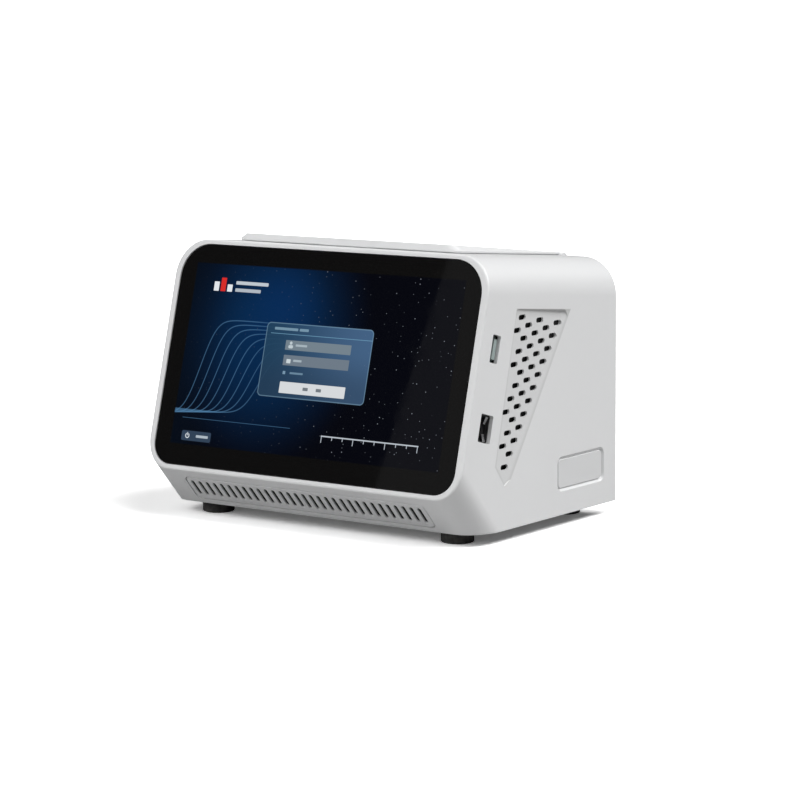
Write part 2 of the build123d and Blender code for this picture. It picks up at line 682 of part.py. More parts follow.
with BuildPart() as rear_panel:
    with BuildSketch(REAR):
        add(screen_shape(2 * TRAY_HALF, PANEL_TOP - PANEL_FOOT, PANEL_FOOT, TOP_ROUND - WALL - 0.2, 0.5))
        with Locations(*(behind((s * boss[0], boss[1])) for s in (-1, 1) for boss in REAR_BOSSES)):
            Circle(1.7, mode=Mode.SUBTRACT)
        with Locations(behind(INLET_PLACE)):
            Circle(5.3, mode=Mode.SUBTRACT)
        with Locations(behind(NETWORK_PLACE)):
            RectangleRounded(*NETWORK_CUT, 0.6, mode=Mode.SUBTRACT)
        with Locations(behind(SWITCH_PLACE)):
            RectangleRounded(*SWITCH_CUT, 0.6, mode=Mode.SUBTRACT)
        with Locations((0, 72)):
            with GridLocations(6, 18, 13, 3):
                SlotOverall(14, 2.6, rotation=90, mode=Mode.SUBTRACT)
    extrude(amount=PANEL_THICK)
    with BuildSketch(REAR.offset(PANEL_THICK - 1.5)):
        with Locations(*(behind((s * boss[0], boss[1])) for s in (-1, 1) for boss in REAR_BOSSES)):
            Circle(3.0)
    extrude(amount=1.5, mode=Mode.SUBTRACT)
rear_panel.part.label = "rear_panel"
export_step(rear_panel.part, "parts/rear_panel.step")

with BuildPart() as rear_panel_screws:
    with BuildSketch(REAR.offset(-7)):
        with Locations(*(behind((s * boss[0], boss[1])) for s in (-1, 1) for boss in REAR_BOSSES)):
            Circle(1.45)
    extrude(amount=7 + PANEL_THICK - 1.5)
    with BuildSketch(REAR.offset(PANEL_THICK - 1.5)):
        with Locations(*(behind((s * boss[0], boss[1])) for s in (-1, 1) for boss in REAR_BOSSES)):
            Circle(2.8)
            RegularPolygon(1.2, 6, mode=Mode.SUBTRACT)
    extrude(amount=1.4)
rear_panel_screws.part.label = "rear_panel_screws"
export_step(rear_panel_screws.part, "parts/rear_panel_screws.step")

with BuildPart() as power_inlet:
    with BuildSketch(REAR.offset(-13)):
        with Locations(behind(INLET_PLACE)):
            Rectangle(11.6, 12)
    extrude(amount=13)
    with BuildSketch(REAR):
        with Locations(behind(INLET_PLACE)):
            Circle(5.2)
    extrude(amount=PANEL_THICK)
    with BuildSketch(REAR.offset(-8)):
        with Locations(behind(INLET_PLACE)):
            Circle(3.6)
            Circle(1.2, mode=Mode.SUBTRACT)
    extrude(amount=12, mode=Mode.SUBTRACT)
power_inlet.part.label = "power_inlet"
export_step(power_inlet.part, "parts/power_inlet.step")

with BuildPart() as network_socket:
    with BuildSketch(REAR.offset(-18)):
        with Locations(behind(NETWORK_PLACE)):
            Rectangle(15.8, 13.2)
    extrude(amount=18 + PANEL_THICK)
    with BuildSketch(REAR.offset(-12)):
        with Locations(behind(NETWORK_PLACE)):
            Rectangle(11.8, 7.6)
        with Locations(behind((NETWORK_PLACE[0], NETWORK_PLACE[1] + 4.6))):
            Rectangle(6, 3)
    extrude(amount=20, mode=Mode.SUBTRACT)
network_socket.part.label = "network_socket"
export_step(network_socket.part, "parts/network_socket.step")

# Rocker switch: a frame in the panel and a rocker that tips about a pivot across it
SWITCH_AXIS_Y = PANEL_Y - 1.4
ROCKER_TIP = 10.0
with BuildPart() as switch_housing:
    with BuildSketch(REAR.offset(-13)):
        with Locations(behind(SWITCH_PLACE)):
            Rectangle(SWITCH_CUT[0] - 0.4, SWITCH_CUT[1] - 0.4)
    extrude(amount=13 + PANEL_THICK)
    with BuildSketch(REAR.offset(-8)):
        with Locations(behind(SWITCH_PLACE)):
            Rectangle(SWITCH_CUT[0] - 3.2, SWITCH_CUT[1] - 3.2)
    extrude(amount=20, mode=Mode.SUBTRACT)
    with BuildSketch(Plane.YZ.offset(SWITCH_PLACE[0])):
        with Locations((SWITCH_AXIS_Y, SWITCH_PLACE[1])):
            Circle(1.0)
    extrude(amount=SWITCH_CUT[0] / 2 - 0.2, both=True)
switch_housing.part.label = "switch_housing"
export_step(switch_housing.part, "parts/switch_housing.step")

with BuildPart() as switch_rocker:
    with BuildSketch(Plane.YZ.offset(SWITCH_PLACE[0])):
        with BuildLine():
            half = SWITCH_CUT[1] / 2 - 3.2
            reach = PANEL_Y + PANEL_THICK + 0.3
            sunk = reach - 2 * half * math.tan(math.radians(ROCKER_TIP))
            centre_z = SWITCH_PLACE[1]
            Polyline(
                (SWITCH_AXIS_Y - 2.2, centre_z - 3),
                (SWITCH_AXIS_Y + 0.8, centre_z - half),
                (sunk, centre_z - half),
                ((sunk + reach) / 2 - 0.5, centre_z),
                (reach, centre_z + half),
                (SWITCH_AXIS_Y + 0.8, centre_z + half),
                (SWITCH_AXIS_Y - 2.2, centre_z + 3),
                close=True,
            )
        make_face()
        with Locations((SWITCH_AXIS_Y, SWITCH_PLACE[1])):
            Circle(1.0 + RUNNING, mode=Mode.SUBTRACT)
    extrude(amount=SWITCH_CUT[0] / 2 - 2.0, both=True)
switch_rocker.part.label = "switch_rocker"
export_step(switch_rocker.part, "parts/switch_rocker.step")


# Chamber under the lid: the deck, the sample block and the stack that heats and cools it
DECK_FLOOR = 103.5
DECK_SKIN = 2.0
RIDGE_Y = (-12.0, 33.0)
RIDGE_HALF = 50.5
RIDGE_WALL = 2.0
RIDGE_TOP = 108.6
CATCH_PLACES = ((-30.0, -16.0), (30.0, -16.0))
CATCH_R = 3.0

with BuildPart() as chamber_deck:
    with Locations((0, collar_y, COLLAR_BOTTOM)):
        Box(2 * (OPENING_HALF + COLLAR_WALL), collar_length, COLLAR_BOTTOM - DECK_FLOOR + DECK_SKIN,
            align=(Align.CENTER, Align.CENTER, Align.MAX))
        Box(2 * OPENING_HALF, OPENING_BACK - OPENING_FRONT, COLLAR_BOTTOM - DECK_FLOOR,
            align=(Align.CENTER, Align.CENTER, Align.MAX), mode=Mode.SUBTRACT)
    with BuildSketch(Plane.XY.offset(DECK_FLOOR)):
        with Locations((0, sum(RIDGE_Y) / 2)):
            Rectangle(2 * RIDGE_HALF, RIDGE_Y[1] - RIDGE_Y[0])
            Rectangle(2 * (RIDGE_HALF - RIDGE_WALL), RIDGE_Y[1] - RIDGE_Y[0] - 2 * RIDGE_WALL,
                      mode=Mode.SUBTRACT)
    extrude(amount=RIDGE_TOP - DECK_FLOOR)
    with Locations(*((x, y, DECK_FLOOR) for x, y in CATCH_PLACES)):
        Cylinder(CATCH_R + 0.4, 4.7, align=(Align.CENTER, Align.CENTER, Align.MIN))
    with Locations((0, BLOCK_Y, DECK_FLOOR - 5)):
        Box(2 * BLOCK_HALF_X + 2, 2 * BLOCK_HALF_Y + 2, 10, mode=Mode.SUBTRACT)
chamber_deck.part.label = "chamber_deck"
export_step(chamber_deck.part, "parts/chamber_deck.step")

with BuildPart() as catch_plates:
    with Locations(*((x, y, DECK_FLOOR + 4.7) for x, y in CATCH_PLACES)):
        Cylinder(CATCH_R, 1.4, align=(Align.CENTER, Align.CENTER, Align.MIN))
catch_plates.part.label = "catch_plates"
export_step(catch_plates.part, "parts/catch_plates.step")

BLOCK_SCREWS = tuple((x, BLOCK_Y + y) for x in (-43.0, 43.0) for y in (-7.0, 7.0))
with BuildPart() as sample_block:
    with Locations((0, BLOCK_Y, BLOCK_FOOT)):
        Box(2 * BLOCK_HALF_X, 2 * BLOCK_HALF_Y, BLOCK_TOP - BLOCK_FOOT,
            align=(Align.CENTER, Align.CENTER, Align.MIN))
        Box(2 * BLOCK_HALF_X + 18, 2 * BLOCK_HALF_Y, 3, align=(Align.CENTER, Align.CENTER, Align.MIN))
    well_foot_r = WELL_TOP_R - WELL_DEPTH * math.tan(math.radians(WELL_HALF_ANGLE))
    with Locations((0, BLOCK_Y, BLOCK_TOP)):
        with GridLocations(WELL_PITCH, WELL_PITCH, 8, 2):
            Cone(well_foot_r, WELL_TOP_R, WELL_DEPTH,
                 align=(Align.CENTER, Align.CENTER, Align.MAX), mode=Mode.SUBTRACT)
    with Locations(*((x, y, BLOCK_FOOT) for x, y in BLOCK_SCREWS)):
        Cylinder(1.7, 20, mode=Mode.SUBTRACT)
sample_block.part.label = "sample_block"
export_step(sample_block.part, "parts/sample_block.step")

with BuildPart() as block_gasket:
    with BuildSketch(Plane.XY.offset(DECK_FLOOR - 4.5)):
        with Locations((0, BLOCK_Y)):
            Rectangle(2 * BLOCK_HALF_X + 2, 2 * BLOCK_HALF_Y + 2)
            Rectangle(2 * BLOCK_HALF_X, 2 * BLOCK_HALF_Y, mode=Mode.SUBTRACT)
    extrude(amount=4.2)
block_gasket.part.label = "block_gasket"
export_step(block_gasket.part, "parts/block_gasket.step")

with BuildPart() as peltier_modules:
    with Locations((0, BLOCK_Y, SINK_TOP)):
        with GridLocations(38, 1, 2, 1):
            Box(35, 22, BLOCK_FOOT - SINK_TOP, align=(Align.CENTER, Align.CENTER, Align.MIN))
peltier_modules.part.label = "peltier_modules"
export_step(peltier_modules.part, "parts/peltier_modules.step")

with BuildPart() as heat_sink:
    with Locations((0, BLOCK_Y, SINK_BASE)):
        Box(103, 52, SINK_TOP - SINK_BASE, align=(Align.CENTER, Align.CENTER, Align.MIN))
    with Locations((0, BLOCK_Y, SINK_BASE)):
        with GridLocations(1, 4.0, 1, 13):
            Box(92, 1.4, SINK_BASE - FIN_BOTTOM, align=(Align.CENTER, Align.CENTER, Align.MAX))
    with Locations(*((x, y, SINK_TOP) for x, y in BLOCK_SCREWS)):
        Cylinder(1.5, 10, mode=Mode.SUBTRACT)
heat_sink.part.label = "heat_sink"
export_step(heat_sink.part, "parts/heat_sink.step")

with BuildPart() as block_screws:
    with Locations(*((x, y, BLOCK_FOOT + 3) for x, y in BLOCK_SCREWS)):
        Cylinder(1.45, 11, align=(Align.CENTER, Align.CENTER, Align.MAX))
        Cylinder(2.8, 2.4, align=(Align.CENTER, Align.CENTER, Align.MIN))
    with BuildSketch(Plane.XY.offset(BLOCK_FOOT + 4)):
        with Locations(*BLOCK_SCREWS):
            RegularPolygon(1.3, 6)
    extrude(amount=2, mode=Mode.SUBTRACT)
block_screws.part.label = "block_screws"
export_step(block_screws.part, "parts/block_screws.step")

# Two brackets carry the heat sink and its fan above the tray
BRACKET_X = 50.0
SHEET = 1.5
TRAY_SCREWS = tuple((side * 57.0, BLOCK_Y + y) for side in (-1, 1) for y in (-16.0, 16.0))
for side, word in ((1, "right"), (-1, "left")):
    with BuildPart() as module_bracket:
        with Locations((side * BRACKET_X, BLOCK_Y, TRAY_TOP)):
            outward = Align.MIN if side > 0 else Align.MAX
            Box(SHEET, 44, SINK_BASE - TRAY_TOP, align=(outward, Align.CENTER, Align.MIN))
            Box(12, 44, SHEET, align=(outward, Align.CENTER, Align.MIN))
        with Locations((side * (BRACKET_X + SHEET), BLOCK_Y, SINK_BASE)):
            inward = Align.MAX if side > 0 else Align.MIN
            Box(5, 44, SHEET, align=(inward, Align.CENTER, Align.MAX))
        with Locations((side * BRACKET_X, BLOCK_Y, (FIN_BOTTOM + SINK_BASE) / 2 - 1)):
            Box(10, 36, SINK_BASE - FIN_BOTTOM - 3, mode=Mode.SUBTRACT)
        with Locations((side * BRACKET_X, BLOCK_Y, 28)):
            Box(10, 30, 22, mode=Mode.SUBTRACT)
        with Locations(*((x, y, TRAY_TOP) for x, y in TRAY_SCREWS)):
            Cylinder(1.7, 10, mode=Mode.SUBTRACT)
    module_bracket.part.label = "module_bracket_" + word
    export_step(module_bracket.part, "parts/module_bracket_" + word + ".step")

with BuildPart() as bracket_screws:
    with Locations(*((x, y, TRAY_TOP + SHEET) for x, y in TRAY_SCREWS)):
        Cylinder(2.8, 1.8, align=(Align.CENTER, Align.CENTER, Align.MIN))
        Cylinder(1.5, SHEET, align=(Align.CENTER, Align.CENTER, Align.MAX))
bracket_screws.part.label = "bracket_screws"
export_step(bracket_screws.part, "parts/bracket_screws.step")

FAN_SCREWS = tuple((x, BLOCK_Y + y) for x in (-25.0, 25.0) for y in (-25.0, 25.0))
with BuildPart() as fan_shroud:
    with BuildSketch(Plane.XY.offset(FAN_TOP)):
        with Locations((0, BLOCK_Y)):
            Rectangle(2 * BRACKET_X, FAN_SIZE)
            Circle(FAN_BORE_R, mode=Mode.SUBTRACT)
        with Locations(*FAN_SCREWS):
            Circle(2.0, mode=Mode.SUBTRACT)
    extrude(amount=2)
fan_shroud.part.label = "fan_shroud"
export_step(fan_shroud.part, "parts/fan_shroud.step")

with BuildPart() as fan_frame:
    with BuildSketch(Plane.XY.offset(FAN_TOP - FAN_THICK)):
        with Locations((0, BLOCK_Y)):
            RectangleRounded(FAN_SIZE, FAN_SIZE, 4)
            Circle(FAN_BORE_R, mode=Mode.SUBTRACT)
        with Locations(*FAN_SCREWS):
            Circle(2.0, mode=Mode.SUBTRACT)
    extrude(amount=FAN_THICK)
    with BuildSketch(Plane.XY.offset(FAN_TOP - FAN_THICK)):
        with Locations((0, BLOCK_Y)):
            Circle(12)
            with PolarLocations(19, 4, start_angle=45):
                Rectangle(22, 3)
    extrude(amount=2)
    with Locations((0, BLOCK_Y, FAN_TOP - FAN_THICK)):
        Cylinder(1.5, 8, align=(Align.CENTER, Align.CENTER, Align.MIN))
fan_frame.part.label = "fan_frame"
export_step(fan_frame.part, "parts/fan_frame.step")

with BuildPart() as fan_rotor:
    with Locations((0, BLOCK_Y, FAN_TOP - 2)):
        Cylinder(12.5, 10, align=(Align.CENTER, Align.CENTER, Align.MAX))
    with Locations((0, BLOCK_Y, FAN_TOP - 7)):
        with PolarLocations(19, 7):
            Box(16, 13, 1.3, rotation=(32, 0, 0))
    with Locations((0, BLOCK_Y, FAN_TOP - 12)):
        Cylinder(1.5 + RUNNING, 5.5, align=(Align.CENTER, Align.CENTER, Align.MIN), mode=Mode.SUBTRACT)
    fillet(fan_rotor.faces().sort_by(Axis.Z)[-1].edges(), 0.8)
fan_rotor.part.label = "fan_rotor"
export_step(fan_rotor.part, "parts/fan_rotor.step")

with BuildPart() as fan_screws:
    with Locations(*((x, y, FAN_TOP + 2) for x, y in FAN_SCREWS)):
        Cylinder(2.9, 1.6, align=(Align.CENTER, Align.CENTER, Align.MIN))
        Cylinder(1.9, 14, align=(Align.CENTER, Align.CENTER, Align.MAX))
fan_screws.part.label = "fan_screws"
export_step(fan_screws.part, "parts/fan_screws.step")


# Optics behind the block
GUIDE_BACK = 34.5
with BuildPart() as light_guide_block:
    with BuildSketch(Plane.XZ.offset(-(BLOCK_Y + BLOCK_HALF_Y))):
        with Locations((0, GUIDE_Z)):
            Rectangle(2 * BLOCK_HALF_X, 6.4)
            for row in (-1.3, 1.3):
                with Locations((0, row)):
                    with GridLocations(WELL_PITCH, 1, 8, 1):
                        Circle(0.9, mode=Mode.SUBTRACT)
    extrude(amount=-(GUIDE_BACK - BLOCK_Y - BLOCK_HALF_Y))
light_guide_block.part.label = "light_guide_block"
export_step(light_guide_block.part, "parts/light_guide_block.step")

OPTICS_Y = (39.0, 60.0)
SHELF_Z = 60.0
with BuildPart() as optics_frame:
    with BuildSketch(Plane.XZ.offset(-OPTICS_Y[0])):
        for side in (-1, 1):
            with Locations((side * sum(OPTICS_WALL) / 2, TRAY_TOP)):
                Rectangle(OPTICS_WALL[1] - OPTICS_WALL[0], 80 - TRAY_TOP, align=(Align.CENTER, Align.MIN))
        with Locations((0, SHELF_Z)):
            Rectangle(2 * OPTICS_WALL[0], 2, align=(Align.CENTER, Align.MIN))
    extrude(amount=-(OPTICS_Y[1] - OPTICS_Y[0]))
    with BuildSketch(Plane.YZ):
        with Locations(*((y, ROD_Z) for y in ROD_Y)):
            Circle(ROD_R)
        with Locations((SCREW_Y, ROD_Z)):
            Circle(SCREW_R + RUNNING)
        with Locations((sum(OPTICS_Y) / 2, 34)):
            Rectangle(12, 40)
    extrude(amount=60, both=True, mode=Mode.SUBTRACT)
optics_frame.part.label = "optics_frame"
export_step(optics_frame.part, "parts/optics_frame.step")

with BuildPart() as guide_rods:
    with BuildSketch(Plane.YZ):
        with Locations(*((y, ROD_Z) for y in ROD_Y)):
            Circle(ROD_R)
    extrude(amount=OPTICS_WALL[1], both=True)
guide_rods.part.label = "guide_rods"
export_step(guide_rods.part, "parts/guide_rods.step")

with BuildPart() as lead_screw:
    with BuildSketch(Plane.YZ):
        with Locations((SCREW_Y, ROD_Z)):
            Circle(SCREW_R)
    extrude(amount=OPTICS_WALL[1] - 0.2, both=True)
    chamfer(lead_screw.edges().filter_by(GeomType.CIRCLE), 0.4)
lead_screw.part.label = "lead_screw"
export_step(lead_screw.part, "parts/lead_screw.step")

with BuildPart() as scan_motor:
    with BuildSketch(Plane.YZ.offset(OPTICS_WALL[1])):
        with Locations((SCREW_Y, ROD_Z)):
            RectangleRounded(20, 20, 3)
    extrude(amount=28)
scan_motor.part.label = "scan_motor"
export_step(scan_motor.part, "parts/scan_motor.step")

NUT_R = 4.5
LENS_R = 2.6
CARRIAGE_Y = (36.0, 59.0)
with BuildPart() as scan_carriage:
    with Locations((CARRIAGE_HOME, CARRIAGE_Y[0], 65)):
        Box(2 * CARRIAGE_HALF, CARRIAGE_Y[1] - CARRIAGE_Y[0], 34.5,
            align=(Align.CENTER, Align.MIN, Align.MIN))
    with Locations((CARRIAGE_HOME, sum(CARRIAGE_Y) / 2, 89)):
        Box(2 * CARRIAGE_HALF - 5, 15, 15, mode=Mode.SUBTRACT)
    with BuildSketch(Plane.YZ.offset(CARRIAGE_HOME)):
        with Locations(*((y, ROD_Z) for y in ROD_Y)):
            Circle(ROD_R + RUNNING)
        with Locations((SCREW_Y, ROD_Z)):
            Circle(NUT_R)
    extrude(amount=20, both=True, mode=Mode.SUBTRACT)
    with BuildSketch(Plane.XZ.offset(-CARRIAGE_Y[0])):
        with Locations((CARRIAGE_HOME, GUIDE_Z)):
            Circle(LENS_R)
    extrude(amount=-4.1, mode=Mode.SUBTRACT)
scan_carriage.part.label = "scan_carriage"
export_step(scan_carriage.part, "parts/scan_carriage.step")

with BuildPart() as scan_lens:
    with BuildSketch(Plane.XZ.offset(-CARRIAGE_Y[0] - 0.3)):
        with Locations((CARRIAGE_HOME, GUIDE_Z)):
            Circle(LENS_R)
    extrude(amount=-2.5)
    fillet(scan_lens.edges().group_by(Axis.Y)[0], 0.7)
scan_lens.part.label = "scan_lens"
export_step(scan_lens.part, "parts/scan_lens.step")

with BuildPart() as lead_nut:
    with BuildSketch(Plane.YZ.offset(CARRIAGE_HOME)):
        with Locations((SCREW_Y, ROD_Z)):
            Circle(NUT_R)
            Circle(SCREW_R + RUNNING, mode=Mode.SUBTRACT)
    extrude(amount=CARRIAGE_HALF, both=True)
lead_nut.part.label = "lead_nut"
export_step(lead_nut.part, "parts/lead_nut.step")

with BuildPart() as scan_board:
    with Locations((CARRIAGE_HOME, CARRIAGE_Y[1], 82)):
        Box(2 * CARRIAGE_HALF - 2, 1.4, 30, align=(Align.CENTER, Align.MIN, Align.CENTER))
    with Locations((CARRIAGE_HOME, CARRIAGE_Y[1] + 1.4, 84)):
        Box(10, 1.2, 8, align=(Align.CENTER, Align.MIN, Align.CENTER))
scan_board.part.label = "scan_board"
export_step(scan_board.part, "parts/scan_board.step")


# Power board on the left of the tray
POWER_POSTS = tuple((x, y) for x in (-79.5, -66.0) for y in (-17.0, 17.0))
with BuildPart() as power_board:
    with Locations((-72.5, 0, 14)):
        Box(22, 42, 1.6, align=(Align.CENTER, Align.CENTER, Align.MIN))
    with Locations(*((x, y, TRAY_TOP) for x, y in POWER_POSTS)):
        Cylinder(2.5, 14 - TRAY_TOP, align=(Align.CENTER, Align.CENTER, Align.MIN))
power_board.part.label = "power_board"
export_step(power_board.part, "parts/power_board.step")

with BuildPart() as power_components:
    with Locations((-77, -10, 15.6)):
        Box(10, 10, 7, align=(Align.CENTER, Align.CENTER, Align.MIN))
    with Locations((-76, 12, 15.6), (-67, 12, 15.6), (-67, 2, 15.6)):
        Cylinder(4, 14, align=(Align.CENTER, Align.CENTER, Align.MIN))
    with Locations((-67, -12, 15.6)):
        Box(6, 14, 5, align=(Align.CENTER, Align.CENTER, Align.MIN))
power_components.part.label = "power_components"
export_step(power_components.part, "parts/power_components.step")


# Lid
FRAME_HALF = 54.0
FRAME_Y = (-19.5, 46.0)
FRAME_FOOT = 110.0
FRAME_SKIN = 2.0
LID_SCREWS = tuple((x, y) for x in (-48.5, 48.5) for y in (-14.0, 40.5))
SPRING_PLACES = tuple((x, BLOCK_Y + y) for x in (-37.0, 37.0) for y in (-9.0, 9.0))
SPRING_R = 3.0
WIRE_R = 0.4
SPRING_FOOT = 114.2
SPRING_TOP = 124.4

side_fall = math.radians(TOP_FALL)
side_rise = math.radians(LID_SIDE_SLOPE)
LID_SIDE = Plane(
    origin=(LID_HALF, TOP_Y, TOP_Z + LID_GAP),
    x_dir=(0, math.cos(side_fall), -math.sin(side_fall)),
    z_dir=(
        math.cos(side_fall) * math.sin(side_rise),
        math.sin(side_fall) * math.cos(side_rise),
        math.cos(side_fall) * math.cos(side_rise),
    ),
)

with BuildPart() as lid_cover:
    with BuildSketch(Plane.YZ):
        with BuildLine():
            lean_in = 0.6
            lift = LID_GAP / math.cos(math.radians(TOP_FALL))
            Polyline(
                (LID_FRONT_Y, top_height(LID_FRONT_Y) + lift),
                (LID_FRONT_Y + lean_in, lid_height(LID_FRONT_Y + lean_in)),
                (
                    HINGE_Y + BARREL_R * math.sin(math.radians(LID_FALL)),
                    HINGE_Z + BARREL_R * math.cos(math.radians(LID_FALL)),
                ),
                (HINGE_Y, top_height(HINGE_Y) + lift),
                close=True,
            )
        make_face()
    extrude(amount=LID_HALF, both=True)
    split(bisect_by=LID_SIDE, keep=Keep.BOTTOM)
    mirror(about=Plane.YZ, mode=Mode.INTERSECT)
    front_face = lid_cover.faces().sort_by(Axis.Y)[0]
    fillet(front_face.edges().group_by(Axis.X)[0] + front_face.edges().group_by(Axis.X)[-1], 3.0)
    lid_top = lid_cover.faces().filter_by(GeomType.PLANE).sort_by(Axis.Z)[-1]
    fillet(lid_top.edges().group_by(Axis.Y)[:-1], 0.8)
    with BuildSketch(Plane.YZ):
        with Locations((HINGE_Y, HINGE_Z)):
            Circle(BARREL_R)
    extrude(amount=LID_HALF, both=True)
    with BuildSketch(Plane.YZ.offset(LID_HALF - 13)):
        with Locations((HINGE_Y, HINGE_Z)):
            Circle(PIN_R + RUNNING)
    extrude(amount=20, mode=Mode.SUBTRACT)
    with BuildSketch(Plane.YZ.offset(13 - LID_HALF)):
        with Locations((HINGE_Y, HINGE_Z)):
            Circle(PIN_R + RUNNING)
    extrude(amount=-20, mode=Mode.SUBTRACT)
    # Bosses for the inner frame, and pegs with a seat for each of the plate's springs
    with BuildSketch(Plane.XY.offset(FRAME_FOOT + FRAME_SKIN)):
        with Locations(*LID_SCREWS):
            Circle(3)
    extrude(until=Until.NEXT, target=lid_cover.part)
    with BuildSketch(Plane.XY.offset(SPRING_TOP)):
        with Locations(*SPRING_PLACES):
            Circle(3.6)
    extrude(until=Until.NEXT, target=lid_cover.part)
    with Locations(*((x, y, SPRING_TOP) for x, y in SPRING_PLACES)):
        Cylinder(1.8, 5.9, align=(Align.CENTER, Align.CENTER, Align.MAX))
    with Locations(*((x, y, FRAME_FOOT) for x, y in LID_SCREWS)):
        Cylinder(1.2, 9.0, align=(Align.CENTER, Align.CENTER, Align.MIN), mode=Mode.SUBTRACT)
lid_cover.part.label = "lid_cover"
export_step(lid_cover.part, "parts/lid_cover.step")

with BuildPart() as lid_inner_frame:
    frame_y = sum(FRAME_Y) / 2
    frame_length = FRAME_Y[1] - FRAME_Y[0]
    with Locations((0, frame_y, FRAME_FOOT)):
        Box(2 * FRAME_HALF, frame_length, 30, align=(Align.CENTER, Align.CENTER, Align.MIN))
    with Locations((0, frame_y, FRAME_FOOT + FRAME_SKIN)):
        Box(2 * (FRAME_HALF - 1.8), frame_length - 3.6, 30,
            align=(Align.CENTER, Align.CENTER, Align.MIN), mode=Mode.SUBTRACT)
    split(bisect_by=LID_BASE, keep=Keep.BOTTOM)
    with Locations((0, BLOCK_Y, FRAME_FOOT)):
        Box(83, 26, 10, mode=Mode.SUBTRACT)
    with Locations(*((x, y, FRAME_FOOT) for x, y in LID_SCREWS)):
        Cylinder(2.7, 1.4, align=(Align.CENTER, Align.CENTER, Align.MIN), mode=Mode.SUBTRACT)
        Cylinder(1.4, 4, align=(Align.CENTER, Align.CENTER, Align.MIN), mode=Mode.SUBTRACT)
    with Locations(*((x, y, FRAME_FOOT) for x, y in CATCH_PLACES)):
        Cylinder(CATCH_R, 2 * FRAME_SKIN, mode=Mode.SUBTRACT)
lid_inner_frame.part.label = "lid_inner_frame"
export_step(lid_inner_frame.part, "parts/lid_inner_frame.step")

with BuildPart() as lid_screws:
    with Locations(*((x, y, FRAME_FOOT + 1.4) for x, y in LID_SCREWS)):
        Cylinder(2.5, 1.2, align=(Align.CENTER, Align.CENTER, Align.MAX))
        Cylinder(1.15, 7.0, align=(Align.CENTER, Align.CENTER, Align.MIN))
lid_screws.part.label = "lid_screws"
export_step(lid_screws.part, "parts/lid_screws.step")

with BuildPart() as lid_magnets:
    with Locations(*((x, y, FRAME_FOOT + FRAME_SKIN) for x, y in CATCH_PLACES)):
        Cylinder(CATCH_R, FRAME_SKIN, align=(Align.CENTER, Align.CENTER, Align.MAX))
lid_magnets.part.label = "lid_magnets"
export_step(lid_magnets.part, "parts/lid_magnets.step")

with BuildPart() as lid_seal:
    with BuildSketch(Plane.XY.offset(RIDGE_TOP + 0.3)):
        with Locations((0, sum(RIDGE_Y) / 2)):
            RectangleRounded(2 * RIDGE_HALF, RIDGE_Y[1] - RIDGE_Y[0], 3)
            RectangleRounded(2 * (RIDGE_HALF - 1.8), RIDGE_Y[1] - RIDGE_Y[0] - 3.6, 1.5,
                             mode=Mode.SUBTRACT)
    extrude(amount=FRAME_FOOT - RIDGE_TOP - 0.3)
lid_seal.part.label = "lid_seal"
export_step(lid_seal.part, "parts/lid_seal.step")

with BuildPart() as hinge_pins:
    for start, run in ((LID_HALF - 12, 17.5), (12 - LID_HALF, -17.5)):
        with BuildSketch(Plane.YZ.offset(start)):
            with Locations((HINGE_Y, HINGE_Z)):
                Circle(PIN_R)
        extrude(amount=run)
hinge_pins.part.label = "hinge_pins"
export_step(hinge_pins.part, "parts/hinge_pins.step")

# Heated plate that presses on the tube caps, floating in the lid on four springs
PLATE_FOOT = 109.2
with BuildPart() as heated_plate:
    with Locations((0, BLOCK_Y, PLATE_FOOT)):
        Box(80, 23, 3, align=(Align.CENTER, Align.CENTER, Align.MIN))
        with Locations((0, 0, 3)):
            Box(88, 30, 2, align=(Align.CENTER, Align.CENTER, Align.MIN))
    chamfer(heated_plate.faces().sort_by(Axis.Z)[0].edges(), 0.5)
heated_plate.part.label = "heated_plate"
export_step(heated_plate.part, "parts/heated_plate.step")

with BuildPart() as heater_mat:
    with Locations((0, BLOCK_Y, SPRING_FOOT)):
        Box(62, 24, 0.8, align=(Align.CENTER, Align.CENTER, Align.MIN))
heater_mat.part.label = "heater_mat"
export_step(heater_mat.part, "parts/heater_mat.step")

with BuildPart() as plate_springs:
    for x, y in SPRING_PLACES:
        with BuildLine() as coil:
            low, high = SPRING_FOOT + WIRE_R, SPRING_TOP - WIRE_R
            Helix(pitch=(high - low) / 6, height=high - low, radius=SPRING_R, center=(x, y, low))
        with BuildSketch(Plane(origin=coil.line @ 0, z_dir=coil.line % 0)):
            Circle(WIRE_R)
        sweep(path=coil.line, is_frenet=True)
plate_springs.part.label = "plate_springs"
export_step(plate_springs.part, "parts/plate_springs.step")

print("hinge axis at y", round(HINGE_Y, 3), "z", round(HINGE_Z, 3))
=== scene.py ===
# %% [markdown]
# # A bench-top real-time PCR instrument
#
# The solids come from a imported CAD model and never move. This script gives them their
# materials, adds the small things that are easier to draw than to machine, such as contacts
# and markings, and sets up the studio. Everything is in metres: +X is to the right of someone
# who faces the screen, +Y runs to the back, +Z is up, and the origin is on the bench.

import math

import bpy
import numpy as np
from mathutils import Matrix, Vector


